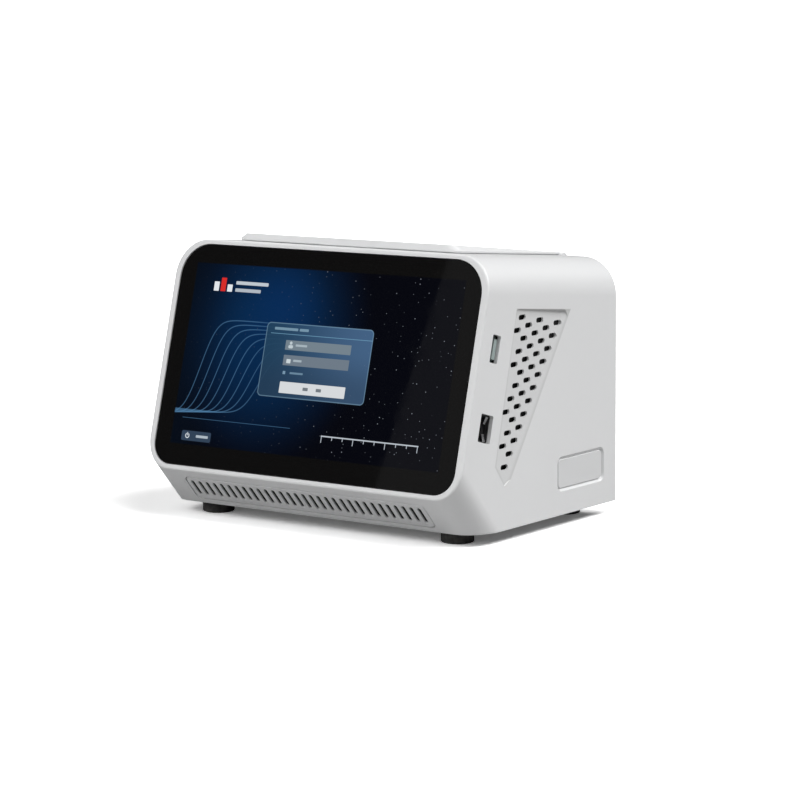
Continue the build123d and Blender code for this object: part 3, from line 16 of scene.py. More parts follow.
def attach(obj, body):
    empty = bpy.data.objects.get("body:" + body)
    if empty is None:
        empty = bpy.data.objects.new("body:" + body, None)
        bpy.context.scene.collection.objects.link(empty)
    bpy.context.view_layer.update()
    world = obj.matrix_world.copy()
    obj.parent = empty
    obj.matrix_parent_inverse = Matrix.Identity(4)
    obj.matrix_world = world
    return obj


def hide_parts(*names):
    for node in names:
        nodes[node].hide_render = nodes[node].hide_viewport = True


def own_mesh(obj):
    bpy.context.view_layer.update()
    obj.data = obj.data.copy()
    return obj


MM = 0.001
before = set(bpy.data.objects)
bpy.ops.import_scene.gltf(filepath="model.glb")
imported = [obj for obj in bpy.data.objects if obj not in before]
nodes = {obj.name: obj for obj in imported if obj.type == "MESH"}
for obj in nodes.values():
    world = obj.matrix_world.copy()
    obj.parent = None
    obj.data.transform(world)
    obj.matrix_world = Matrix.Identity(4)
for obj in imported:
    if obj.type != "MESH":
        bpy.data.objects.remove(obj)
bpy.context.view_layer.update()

# %% [markdown]
# ## Smooth rounds on faceted solids
#
# A CAD mesh arrives as loose triangles. Three modifiers turn it into a surface that shades
# well: the triangles are welded, split again along the real edges, and the normals are
# weighted by area, so a flat face stays flat right up to its round.

# %% Weld, split and weight every solid
SHARP_ANGLE = 32.0
WELD_GAP = 0.004 * MM
LEVEL_SHARE = 0.01


def soften(node):
    mesh = node.data
    mesh.polygons.foreach_set("use_smooth", np.ones(len(mesh.polygons), bool))
    weld = node.modifiers.new("weld", "WELD")
    weld.merge_threshold = WELD_GAP
    split = node.modifiers.new("split", "EDGE_SPLIT")
    split.split_angle = math.radians(SHARP_ANGLE)
    normals = node.modifiers.new("normals", "WEIGHTED_NORMAL")
    normals.weight = 100
    normals.thresh = LEVEL_SHARE


for node in nodes.values():
    soften(node)
print("edges sharper than", SHARP_ANGLE, "degrees stay sharp")

# %% [markdown]
# ## Writing materials in short
#
# A shader tree could be wired by hand in the editor. In a script it is shorter to have `put`,
# which adds a node and fills its inputs in one line, each with a link or with a plain value.


# %% Helpers for shader trees
def put(tree, kind, links=(), **settings):
    """Adds a node. links maps its inputs to sockets or to plain values."""
    node = tree.nodes.new(kind)
    for key, value in settings.items():
        setattr(node, key, value)
    for key, value in dict(links).items():
        if isinstance(value, bpy.types.NodeSocket):
            tree.links.new(value, node.inputs[key])
        else:
            node.inputs[key].default_value = value
    return node


def math_of(tree, operation, *values, clamp=False):
    node = put(tree, "ShaderNodeMath", enumerate(values), operation=operation, use_clamp=clamp)
    return node.outputs[0]


def vector_of(tree, operation, *values):
    node = put(tree, "ShaderNodeVectorMath", enumerate(values), operation=operation)
    return node.outputs["Value" if operation in ("DOT_PRODUCT", "LENGTH") else "Vector"]


def spread(tree, value, low, high, to_low=0.0, to_high=1.0, curve="SMOOTHSTEP"):
    """Maps value from one range to another, held at both ends."""
    links = {"Value": value, "From Min": low, "From Max": high, "To Min": to_low, "To Max": to_high}
    return put(tree, "ShaderNodeMapRange", links, interpolation_type=curve).outputs["Result"]


def blend_colour(tree, factor, below, above):
    """Goes from below to above as factor goes from 0 to 1. A Mix node set to colours takes its
    factor at input 0 and its colours at inputs 6 and 7, and its result is output 2."""
    return put(
        tree, "ShaderNodeMix", {0: factor, 6: below, 7: above}, data_type="RGBA"
    ).outputs[2]


def noise(tree, where, scale, detail, **more):
    links = {"Vector": where, "Scale": scale, "Detail": detail, **more}
    return put(tree, "ShaderNodeTexNoise", links).outputs["Fac"]


def relief(tree, height, strength, distance):
    links = {"Height": height, "Strength": strength, "Distance": distance}
    return put(tree, "ShaderNodeBump", links).outputs["Normal"]


def object_point(tree):
    return put(tree, "ShaderNodeTexCoord").outputs["Object"]


def parts_of(tree, vector):
    return put(tree, "ShaderNodeSeparateXYZ", {"Vector": vector}).outputs


# %% [markdown]
# An effect that several materials share is a node group: it is drawn once, and each material
# gives it values of its own. The shader itself stays in the material.


# %% Helpers for groups and materials
def group(name, inputs, outputs):
    """An empty node group with its inputs, each (name, kind, default), and its outputs."""
    tree = bpy.data.node_groups.new(name, "ShaderNodeTree")
    for label, kind, default in inputs:
        socket = tree.interface.new_socket(label, in_out="INPUT", socket_type="NodeSocket" + kind)
        if default is not None:
            socket.default_value = default
    for label, kind in outputs:
        tree.interface.new_socket(label, in_out="OUTPUT", socket_type="NodeSocket" + kind)
    return tree, tree.nodes.new("NodeGroupInput").outputs, tree.nodes.new("NodeGroupOutput").inputs


def use(tree, shared, links=()):
    return put(tree, "ShaderNodeGroup", links, node_tree=shared).outputs


def wear(tree, shader, skin):
    """Gives the shader the colour, roughness and normal that a group puts out."""
    for name, socket in (("Colour", "Base Color"), ("Roughness",) * 2, ("Normal",) * 2):
        tree.links.new(skin[name], shader.inputs[socket])


def material(name, colour, roughness=0.5, metallic=0.0, **sockets):
    """A Principled material, its tree and its shader. Sockets are inputs, such as ior=1.5."""
    made = bpy.data.materials.new(name)
    made.use_nodes = True
    shader = made.node_tree.nodes["Principled BSDF"]
    shader.inputs["Base Color"].default_value = (*colour, 1)
    shader.inputs["Roughness"].default_value = roughness
    shader.inputs["Metallic"].default_value = metallic
    for key, value in sockets.items():
        shader.inputs[key.replace("_", " ").title().replace("Ior", "IOR")].default_value = value
    made.diffuse_color = (*colour, 1)
    return made, made.node_tree, shader


# %% [markdown]
# ## Shared surface effects
#
# Each group reads object coordinates, which are metres here, so a scale of 1000 makes
# features of about a millimetre. Moulded plastic has a fine grain, and large soft patches where
# it is a little duller and darker.

# %% Moulded plastic
DUST = (0.32, 0.31, 0.29, 1)
PATCHES, PATCH_SHARE = 28.0, 0.6
STAINS, STAIN_SHARE = 420.0, 0.4
GRAIN_HEIGHT = 0.2 * MM

tree, given, out = group(
    "moulded_skin",
    [
        ("Colour", "Color", (0.8, 0.8, 0.8, 1)),
        ("Grain Scale", "Float", 2600.0),
        ("Grain Depth", "Float", 0.05),
        ("Roughness Low", "Float", 0.36),
        ("Roughness High", "Float", 0.46),
        ("Mottle", "Float", 0.03),
    ],
    [("Colour", "Color"), ("Roughness", "Float"), ("Normal", "Vector")],
)
where = object_point(tree)
grain = noise(tree, where, given["Grain Scale"], 2.0)
flow = noise(tree, where, PATCHES, 5.0, Roughness=0.6)
fine = noise(tree, where, STAINS, 3.0)
flow_part = math_of(tree, "MULTIPLY", flow, PATCH_SHARE)
uneven = math_of(tree, "MULTIPLY_ADD", fine, STAIN_SHARE, flow_part)
darker = math_of(tree, "MULTIPLY", spread(tree, uneven, 0.3, 0.7), given["Mottle"])
tree.links.new(blend_colour(tree, darker, given["Colour"], DUST), out["Colour"])
rough = spread(
    tree, uneven, 0.35, 0.65, given["Roughness Low"], given["Roughness High"], "LINEAR"
)
tree.links.new(rough, out["Roughness"])
tree.links.new(relief(tree, grain, given["Grain Depth"], GRAIN_HEIGHT), out["Normal"])
moulded_skin = tree
print("patches of plastic about", round(1 / PATCHES / MM), "mm across")

# %% [markdown]
# Rolled, ground or brushed metal shows fine lines. They are ordinary noise on coordinates that
# are stretched: a small number along one axis draws the noise out into lines along it.

# %% Worked metal
TARNISH = (0.3, 0.3, 0.31, 1)
CLOUDS = 90.0
LINE_HEIGHT = 0.1 * MM

tree, given, out = group(
    "worked_metal",
    [
        ("Colour", "Color", (0.7, 0.7, 0.7, 1)),
        ("Stretch", "Vector", (40.0, 2400.0, 2400.0)),
        ("Depth", "Float", 0.12),
        ("Roughness Low", "Float", 0.22),
        ("Roughness High", "Float", 0.42),
    ],
    [("Colour", "Color"), ("Roughness", "Float"), ("Normal", "Vector")],
)
where = object_point(tree)
lines = noise(tree, vector_of(tree, "MULTIPLY", where, given["Stretch"]), 1.0, 4.0)
cloud = noise(tree, where, CLOUDS, 4.0)
dull = spread(tree, cloud, 0.35, 0.75, 0.0, 0.25)
tree.links.new(blend_colour(tree, dull, given["Colour"], TARNISH), out["Colour"])
rough = spread(
    tree, lines, 0.3, 0.7, given["Roughness Low"], given["Roughness High"], "LINEAR"
)
tree.links.new(rough, out["Roughness"])
tree.links.new(relief(tree, lines, given["Depth"], LINE_HEIGHT), out["Normal"])
worked_metal = tree
print("groups:", moulded_skin.name, worked_metal.name)

# %% [markdown]
# ## Materials of the case and of what is inside
#
# Most pieces are one plain plastic or metal, so a material needs only its colour, the range of
# its roughness and how coarse its grain is. A plastic with a pattern gives `mould` the pattern
# in place of a colour.


# %% Plain plastics and metals
def mould(tree, shader, tint, low, high, mottle, scale, depth):
    look = {"Colour": tint, "Roughness Low": low, "Roughness High": high}
    look |= {"Mottle": mottle, "Grain Scale": scale, "Grain Depth": depth}
    wear(tree, shader, use(tree, moulded_skin, look))


def plastic(name, colour, low, *more):
    made, tree, shader = material(name, colour, low)
    mould(tree, shader, (*colour, 1), low, *more)
    return made


def metal(name, colour, low, high, stretch, depth):
    made, tree, shader = material(name, colour, low, 1.0)
    look = {"Colour": (*colour, 1), "Roughness Low": low, "Roughness High": high}
    look |= {"Stretch": stretch, "Depth": depth}
    wear(tree, shader, use(tree, worked_metal, look))
    return made


# %% [markdown]
# Each line gives a plastic's colour, lowest and highest roughness, mottle, grain and depth, or
# a metal's colour, roughness, the stretch of its lines along X, Y and Z, and their depth.

# %% The plain materials
WHITE = (0.76, 0.765, 0.77)
PART_WHITE = (0.72, 0.725, 0.73)
white_lid = plastic("white_lid", WHITE, 0.28, 0.36, 0.02, 2200.0, 0.03)
white_matt = plastic("white_matt", PART_WHITE, 0.45, 0.6, 0.03, 1800.0, 0.08)
plate_field = plastic("plate_field", (0.7, 0.705, 0.71), 0.3, 0.4, 0.02, 5200.0, 0.1)
black_moulding = plastic("black_moulding", (0.012, 0.012, 0.013), 0.4, 0.55, 0.06, 1800.0, 0.1)
grey_moulding = plastic("grey_moulding", (0.23, 0.235, 0.245), 0.45, 0.6, 0.1, 1500.0, 0.12)
chamber_moulding = plastic(
    "chamber_moulding", (0.055, 0.058, 0.064), 0.42, 0.56, 0.06, 1500.0, 0.14
)
rubber = plastic("rubber", (0.016, 0.016, 0.017), 0.7, 0.88, 0.25, 900.0, 0.25)
seal = plastic("seal", (0.022, 0.022, 0.024), 0.6, 0.75, 0.2, 1500.0, 0.15)
chip = plastic("chip", (0.018, 0.018, 0.02), 0.45, 0.6, 0.1, 3000.0, 0.15)
ceramic = plastic("ceramic", (0.78, 0.77, 0.74), 0.5, 0.62, 0.04, 2500.0, 0.08)
lens = plastic("lens", (0.5, 0.62, 0.68), 0.05, 0.1, 0.02, 900.0, 0.0)
cap_moulding = plastic("cap_moulding", (0.33, 0.4, 0.39), 0.35, 0.5, 0.06, 1800.0, 0.1)
print_white = plastic("print_white", (0.72, 0.73, 0.74), 0.5, 0.65, 0.04, 4200.0, 0.06)
sheet_steel = metal("sheet_steel", (0.6, 0.61, 0.62), 0.28, 0.44, (60.0, 60.0, 1800.0), 0.12)
screw_steel = metal("screw_steel", (0.56, 0.57, 0.58), 0.24, 0.36, (900.0, 900.0, 900.0), 0.05)
ground_steel = metal("ground_steel", (0.66, 0.66, 0.67), 0.1, 0.2, (2600.0, 60.0, 60.0), 0.04)
socket_steel = metal("socket_steel", (0.62, 0.62, 0.63), 0.2, 0.34, (1800.0, 80.0, 80.0), 0.06)
block_metal = metal("block_metal", (0.7, 0.71, 0.72), 0.26, 0.4, (50.0, 2200.0, 2200.0), 0.12)
sink_metal = metal("sink_metal", (0.62, 0.63, 0.64), 0.3, 0.46, (60.0, 1600.0, 1600.0), 0.2)
plate_metal = metal("plate_metal", (0.66, 0.67, 0.68), 0.24, 0.4, (2200.0, 60.0, 2200.0), 0.14)
brass = metal("brass", (0.72, 0.5, 0.2), 0.2, 0.34, (900.0, 900.0, 60.0), 0.06)
gold = metal("gold", (0.83, 0.62, 0.28), 0.18, 0.3, (600.0, 600.0, 600.0), 0.03)
port_steel = metal("port_steel", (0.52, 0.6, 0.6), 0.4, 0.55, (1800.0, 80.0, 80.0), 0.06)
print(len(bpy.data.materials), "materials so far")

# %% [markdown]
# Painted shade darkens the recess of the side vents: a little all over, more along its edges and
# most under its top edge, where shade falls. The recess is convex, so the distance to its nearest
# edge is the smallest of five distances to straight lines, in millimetres.

# %% Painted shade in the vent recess
RECESS = ((-18.8, 104.6), (24.9, 100.3), (-24.0, 28.4), (-29.0, 26.1), (-36.3, 35.6))
SHADE_ALL, SHADE_EDGE, SHADE_TOP = 0.14, 0.18, 0.26
EDGE_REACH, TOP_REACH = 1.8, 5.5
SHADE_COLOUR = (0.3, 0.3, 0.29, 1)

tree, given, out = group(
    "painted_recess_shade",
    [
        ("Colour", "Color", (*WHITE, 1)),
        ("Everywhere", "Float", SHADE_ALL),
        ("Edges", "Float", SHADE_EDGE),
        ("Top", "Float", SHADE_TOP),
    ],
    [("Colour", "Color")],
)
where = object_point(tree)
rooms = []
for start, end in zip(RECESS, RECESS[1:] + RECESS[:1]):
    run, rise = end[0] - start[0], end[1] - start[1]
    inward = Vector((0, rise, -run)).normalized() / MM
    from_start = vector_of(tree, "SUBTRACT", where, (0.0, start[0] * MM, start[1] * MM))
    rooms.append(vector_of(tree, "DOT_PRODUCT", from_start, tuple(inward)))
room = rooms[0]
for other in rooms[1:]:
    room = math_of(tree, "MINIMUM", room, other)
# Painted shade: the colour darkens along the recess's edges and under its top edge.
edge_shade = math_of(tree, "MULTIPLY", spread(tree, room, EDGE_REACH, 0.1), given["Edges"])
under_top = spread(tree, rooms[0], TOP_REACH, 0.0)
shade_amount = math_of(tree, "MULTIPLY_ADD", under_top, given["Top"], edge_shade)
shade_amount = math_of(tree, "ADD", shade_amount, given["Everywhere"])
recess_shade = math_of(tree, "MULTIPLY", shade_amount, spread(tree, room, -0.5, 0.4))
tree.links.new(blend_colour(tree, recess_shade, given["Colour"], SHADE_COLOUR), out["Colour"])
painted_recess_shade = tree
print("recess edges:", len(rooms))

# %% [markdown]
# The case is white plastic with a light satin sheen. Its colour first takes the painted shade of
# the vent recess, and then the same grain as any other moulding.

# %% White case
white_case, tree, shader = material("white_case", WHITE, 0.34)
recess_shade = use(tree, painted_recess_shade, {"Colour": (*WHITE, 1)})["Colour"]
mould(tree, shader, recess_shade, 0.3, 0.38, 0.02, 2200.0, 0.035)
print("the case is", white_case.name)

# %% [markdown]
# The mesh behind the vents is a weave of fine dark threads. Two sine waves at right angles
# give it: their smaller value is low on every thread and high in every gap.

# %% Fine screen behind the vents
WEAVE = 7800.0
THREAD, GAP = (0.012, 0.012, 0.013, 1), (0.001, 0.001, 0.001, 1)

vent_mesh, tree, shader = material("vent_mesh", (0.006, 0.006, 0.0065), 0.8)
cells = parts_of(tree, object_point(tree))
weave = []
for axis in ("Y", "Z"):
    wave = math_of(tree, "SINE", math_of(tree, "MULTIPLY", cells[axis], WEAVE))
    weave.append(math_of(tree, "ABSOLUTE", wave))
gaps = spread(tree, math_of(tree, "MINIMUM", weave[0], weave[1]), 0.1, 0.6)
tree.links.new(blend_colour(tree, gaps, THREAD, GAP), shader.inputs["Base Color"])
tree.links.new(spread(tree, gaps, 0, 1, 0.7, 0.95), shader.inputs["Roughness"])
print("vent mesh pitch in mm:", round(math.pi / WEAVE / MM, 2))

# %% [markdown]
# A circuit board shows copper tracks under its green mask. A brick pattern gives them: its
# mortar is the paler tracks and its bricks are the bare board between them. A brick is half a
# unit of the pattern long.

# %% Circuit board
BOARD, BOARD_DARK, TRACK = (0.012, 0.09, 0.035), (0.01, 0.07, 0.03, 1), (0.03, 0.17, 0.06, 1)
BRICKS = 180.0

board_green, tree, shader = material("board_green", BOARD, 0.32)
wall = {"Vector": object_point(tree), "Scale": BRICKS, "Mortar Size": 0.03}
wall |= {"Color1": (*BOARD, 1), "Color2": BOARD_DARK, "Mortar": TRACK}
tracks = put(tree, "ShaderNodeTexBrick", wall).outputs
tree.links.new(tracks["Color"], shader.inputs["Base Color"])
tree.links.new(spread(tree, tracks["Fac"], 0, 1, 0.3, 0.4), shader.inputs["Roughness"])
print("a track every", round(0.5 / BRICKS / MM, 1), "mm along the board")

# %% [markdown]
# The grille is white on its face only. Its moulding is thin, and the shade inside its slots is
# painted: the colour falls to black with the depth behind the sloping chin.

# %% Grille
CHIN_LEAN = math.radians(42)
CHIN_POINT = Vector((0, -64.1, 22.3)) * MM
INTO_CHIN = Vector((0, math.cos(CHIN_LEAN), math.sin(CHIN_LEAN)))
FACE_SKIN = 0.9
SLOT_SHADE_COLOUR = (0.01, 0.01, 0.011, 1)

grille_moulding, tree, shader = material("grille_moulding", PART_WHITE, 0.45)
from_chin = vector_of(tree, "SUBTRACT", object_point(tree), tuple(CHIN_POINT))
depth = vector_of(tree, "DOT_PRODUCT", from_chin, tuple(INTO_CHIN / MM))
# Painted shade: black deeper than FACE_SKIN behind the face of the chin.
painted_slot_shade = spread(tree, depth, FACE_SKIN * 0.5, FACE_SKIN)
tint = blend_colour(tree, painted_slot_shade, (*PART_WHITE, 1), SLOT_SHADE_COLOUR)
mould(tree, shader, tint, 0.4, 0.55, 0.03, 1800.0, 0.08)
print("grille face skin in mm:", FACE_SKIN)

# %% [markdown]
# The heater on the press plate is an amber film with a metal track etched in it. Bands across
# Y give the runs of the track, and a wave along X makes them wind.

# %% Heater film
AMBER, ETCHED = (0.45, 0.19, 0.03), (0.5, 0.36, 0.24, 1)
SWAYS, RUNS, SWAY_SIZE = 1400.0, 2600.0, 1.2

heater_film, tree, shader = material("heater_film", AMBER, 0.3)
cells = parts_of(tree, object_point(tree))
sway = math_of(tree, "SINE", math_of(tree, "MULTIPLY", cells["X"], SWAYS))
sway = math_of(tree, "MULTIPLY", sway, SWAY_SIZE)
phase = math_of(tree, "MULTIPLY_ADD", cells["Y"], RUNS, sway)
track = spread(tree, math_of(tree, "ABSOLUTE", math_of(tree, "SINE", phase)), 0.55, 0.7)
tree.links.new(blend_colour(tree, track, (*AMBER, 1), ETCHED), shader.inputs["Base Color"])
tree.links.new(track, shader.inputs["Metallic"])
tree.links.new(spread(tree, track, 0, 1, 0.34, 0.24), shader.inputs["Roughness"])
print("the heater's track repeats every", round(math.pi / RUNS / MM, 2), "mm")

# %% [markdown]
# The two socket tongues are one solid in two colours: the upper one is grey and the lower one
# black. The height of the surface above the bench tells them apart.

# %% Socket tongues
TONGUE_SPLIT, TURN_OVER = 70.0 * MM, 2.0 * MM
TONGUE_BLACK, TONGUE_GREY = (0.011, 0.011, 0.012, 1), (0.3, 0.36, 0.36, 1)

tongue_moulding, tree, shader = material("tongue_moulding", (0.02, 0.02, 0.02), 0.45)
height = parts_of(tree, object_point(tree))["Z"]
upper = spread(tree, height, TONGUE_SPLIT - TURN_OVER, TONGUE_SPLIT + TURN_OVER)
tint = blend_colour(tree, upper, TONGUE_BLACK, TONGUE_GREY)
mould(tree, shader, tint, 0.36, 0.46, 0.06, 2600.0, 0.05)
print("grey above", round(TONGUE_SPLIT / MM), "mm, black below")

# %% [markdown]
# The network socket has two small lamp windows, one green and one amber. They are unlit, so
# they are only tinted plastic. The side of the socket tells which is which.

# %% Lamp windows
SOCKET_X = -38.0
RIBS = 16000.0
AMBER_LAMP, GREEN_LAMP = (0.42, 0.2, 0.02, 1), (0.06, 0.27, 0.07, 1)

lamp_window, tree, shader = material("lamp_window", (0.1, 0.3, 0.06), 0.2)
across = parts_of(tree, object_point(tree))["X"]
left = spread(tree, across, (SOCKET_X - 1) * MM, (SOCKET_X + 1) * MM)
tint = blend_colour(tree, left, AMBER_LAMP, GREEN_LAMP)
tree.links.new(tint, shader.inputs["Base Color"])
ribs = math_of(tree, "SINE", math_of(tree, "MULTIPLY", across, RIBS))
tree.links.new(spread(tree, ribs, -1, 1, 0.12, 0.3), shader.inputs["Roughness"])
print("ribs in a lamp window every", round(2 * math.pi / RIBS / MM, 2), "mm")

# %% [markdown]
# ## The screen
#
# The picture is drawn by the cover glass's own material, in millimetres on the glass. Nearly
# all of it is made of boxes with rounded corners, so a box is a group, drawn once and used
# many times. The distance to it is the distance to a smaller box, less the corner's radius.

# %% A rounded box
tree, given, out = group(
    "rounded_box",
    [
        ("Point", "Vector", None),
        ("Centre", "Vector", (0.0, 0.0, 0.0)),
        ("Half Size", "Vector", (1.0, 1.0, 0.0)),
        ("Radius", "Float", 0.5),
        ("Soft", "Float", 0.12),
    ],
    [("Inside", "Float"), ("Distance", "Float")],
)
away = vector_of(tree, "ABSOLUTE", vector_of(tree, "SUBTRACT", given["Point"], given["Centre"]))
corner = put(tree, "ShaderNodeCombineXYZ", {"X": given["Radius"], "Y": given["Radius"]})
inner = vector_of(tree, "SUBTRACT", given["Half Size"], corner.outputs[0])
beyond = vector_of(tree, "MAXIMUM", vector_of(tree, "SUBTRACT", away, inner), (0.0, 0.0, 0.0))
distance = math_of(tree, "SUBTRACT", vector_of(tree, "LENGTH", beyond), given["Radius"])
tree.links.new(distance, out["Distance"])
edge = math_of(tree, "DIVIDE", distance, given["Soft"])
tree.links.new(math_of(tree, "SUBTRACT", 0.5, edge, clamp=True), out["Inside"])
rounded_box = tree
print(rounded_box.name, "has", len(tree.nodes), "nodes")

# %% [markdown]
# An amplification curve climbs from its base to a plateau. Its level is 1 / (1 + e^run), where
# run counts back from the middle of the climb in widths. Divided by the length of its slope,
# the height above it becomes the distance from it, so the line keeps its thickness.

# %% A growth curve
tree, given, out = group(
    "growth_curve",
    [
        ("Point", "Vector", None),
        ("Start", "Float", 0.0),
        ("Base", "Float", 20.0),
        ("Rise", "Float", 30.0),
        ("Width", "Float", 3.0),
        ("Line", "Float", 0.22),
    ],
    [("Line", "Float")],
)
at = parts_of(tree, given["Point"])
run = math_of(tree, "SUBTRACT", given["Start"], at["X"])
run = math_of(tree, "DIVIDE", run, given["Width"])
level = math_of(tree, "DIVIDE", 1.0, math_of(tree, "ADD", 1.0, math_of(tree, "EXPONENT", run)))
rest = math_of(tree, "SUBTRACT", 1.0, level)
slope = math_of(tree, "MULTIPLY", math_of(tree, "MULTIPLY", level, rest), given["Rise"])
slope = math_of(tree, "DIVIDE", slope, given["Width"])
steep = math_of(tree, "SQRT", math_of(tree, "MULTIPLY_ADD", slope, slope, 1.0))
height = math_of(tree, "MULTIPLY_ADD", level, given["Rise"], given["Base"])
off = math_of(tree, "ABSOLUTE", math_of(tree, "SUBTRACT", at["Y"], height))
off = math_of(tree, "DIVIDE", off, steep)
faded = math_of(tree, "MULTIPLY", given["Line"], 2.0)
tree.links.new(spread(tree, off, faded, given["Line"]), out["Line"])
growth_curve = tree
print(growth_curve.name, "has", len(tree.nodes), "nodes")

# %% [markdown]
# A point on the glass has x from its middle and y up the slope from its bottom edge. Colours
# are written as a screen shows them, from 0 to 255, and `over` lays one on the picture as
# strongly as a mask says.

# %% Points and layers
LEAN = math.radians(15.2)
GLASS_FOOT = Vector((0, -64.5, 25.8)) * MM
UP_SLOPE = Vector((0, math.sin(LEAN), math.cos(LEAN)))
GLASS_BLACK, LIT_BLACK = (0.006, 0.0058, 0.0058), (0.002, 0.002, 0.002, 1)

screen_glass, tree, shader = material("screen_glass", GLASS_BLACK, 0.05, ior=1.5)
from_foot = vector_of(tree, "SUBTRACT", object_point(tree), tuple(GLASS_FOOT))
right_part = vector_of(tree, "DOT_PRODUCT", from_foot, (1 / MM, 0.0, 0.0))
up_part = vector_of(tree, "DOT_PRODUCT", from_foot, tuple(UP_SLOPE / MM))
point = put(tree, "ShaderNodeCombineXYZ", {"X": right_part, "Y": up_part}).outputs[0]
xy = parts_of(tree, point)


def srgb(*colour):
    """A colour as a screen shows it, turned into the linear values that nodes use, opaque."""
    parts = [c / 255 for c in colour]
    linear = (c / 12.92 if c <= 0.04045 else ((c + 0.055) / 1.055) ** 2.4 for c in parts)
    return (*linear, 1)


def times(first, second):
    return math_of(tree, "MULTIPLY", first, second)


def over(picture, mask, *colour):
    return blend_colour(tree, mask, picture, srgb(*colour))


def box(centre, half, radius, soft=0.12):
    places = {"Point": point, "Centre": (*centre, 0.0), "Half Size": (*half, 0.0)}
    return use(tree, rounded_box, {**places, "Radius": radius, "Soft": soft})


def inside(*shape):
    return box(*shape)["Inside"]


def outside(*shape):
    return math_of(tree, "SUBTRACT", 1.0, inside(*shape))


print("the glass leans back", round(math.degrees(LEAN), 1), "degrees")

# %% [markdown]
# The backdrop is black at the right and deep blue towards the upper left, with a paler core
# and a darker left edge. A glow fades with the distance from its centre.


# %% Blue glow
def glow(centre, upright, reach, core, most):
    """As strong as most within core of the centre, nothing at reach. Heights count upright."""
    away = vector_of(tree, "SUBTRACT", point, (*centre, 0.0))
    away = vector_of(tree, "MULTIPLY", away, (1.0, upright, 0.0))
    return spread(tree, vector_of(tree, "LENGTH", away), reach, core, 0.0, most)


GLOWS = (
    (((-30.0, 66.0), 0.92, 62.0, 6.0, 1.0), (4, 40, 77)),
    (((-22.0, 78.0), 1.1, 30.0, 0.0, 0.55), (5, 44, 92)),
)
picture = srgb(2, 3, 11)
for shape, colour in GLOWS:
    picture = over(picture, glow(*shape), *colour)
picture = over(picture, spread(tree, xy["X"], -78.0, -46.0, 0.55, 0.0), 3, 14, 28)
print(len(GLOWS), "glows behind the picture")

# %% [markdown]
# A faint family of amplification curves fills the left half. Each is a little later and lower
# than the one before, and all fade out before they reach the sign-in panel.

# %% Amplification curves
CURVES = 8
LINE_BLUE = (96, 150, 196)

for k in range(CURVES):
    climb = {"Start": -66.0 + 5.2 * k, "Base": 24.0 + 0.35 * k, "Rise": 46.0 - 2.1 * k}
    climb |= {"Point": point, "Width": 3.1 + 0.12 * k, "Line": 0.16}
    line = use(tree, growth_curve, climb)["Line"]
    fade = times(line, spread(tree, xy["X"], -10.0, -42.0, 0.0, 0.3))
    picture = over(picture, fade, *LINE_BLUE)
baseline = inside((-40.0, 22.6), (32.0, 0.12), 0.05)
picture = over(picture, times(baseline, 0.35), *LINE_BLUE)
print(CURVES, "amplification curves")

# %% [markdown]
# A few faint specks lie over it, most of them in the right half. A Voronoi pattern scatters
# them: each cell has one at its heart, and the cell's random colour says how bright it is.

# %% Specks
SPECKS = ((0.3, 0.075, 0.72, 0.5), (0.17, 0.055, 0.6, 0.6))

crowd = spread(tree, xy["X"], -40.0, 30.0, 0.12, 1.0)
for scale, size, share, strength in SPECKS:
    pattern = {"Vector": point, "Scale": scale}
    specks = put(tree, "ShaderNodeTexVoronoi", pattern, voronoi_dimensions="2D").outputs
    dot = spread(tree, specks["Distance"], size, size * 0.35)
    tone = put(tree, "ShaderNodeSeparateColor", {"Color": specks["Color"]}).outputs["Red"]
    kept = times(spread(tree, tone, share, 1.0), crowd)
    picture = over(picture, times(times(dot, kept), strength), 176, 184, 196)
    print("specks about every", round(1 / scale, 1), "mm")

# %% [markdown]
# The sign-in panel is a clear sheet over the backdrop, paler towards its right and its top,
# with a thin bright rim.

# %% Sign-in panel
PANEL_HALF = (30.6, 17.2)

panel = box((0.6, 53.4), PANEL_HALF, 2.2, 0.3)
sideways = spread(tree, xy["X"], -30.0, 31.0)
tint = blend_colour(tree, sideways, srgb(34, 66, 92), srgb(72, 104, 140))
tint = over(tint, spread(tree, xy["Y"], 62.0, 40.0, 0.0, 0.5), 40, 58, 80)
picture = blend_colour(tree, times(panel["Inside"], 0.86), picture, tint)
rim = times(panel["Inside"], spread(tree, panel["Distance"], -0.55, -0.1))
picture = over(picture, times(rim, 0.4), 150, 190, 215)
print("the panel is", *(2 * half for half in PANEL_HALF), "mm")

# %% [markdown]
# Its title line, two entry fields, tick box and button are boxes, and so is what stands round
# it: a small bar chart at the upper left, a time scale at the lower right and an off button at
# the lower left. A row holds a box's centre, half size, radius, colour and strength.

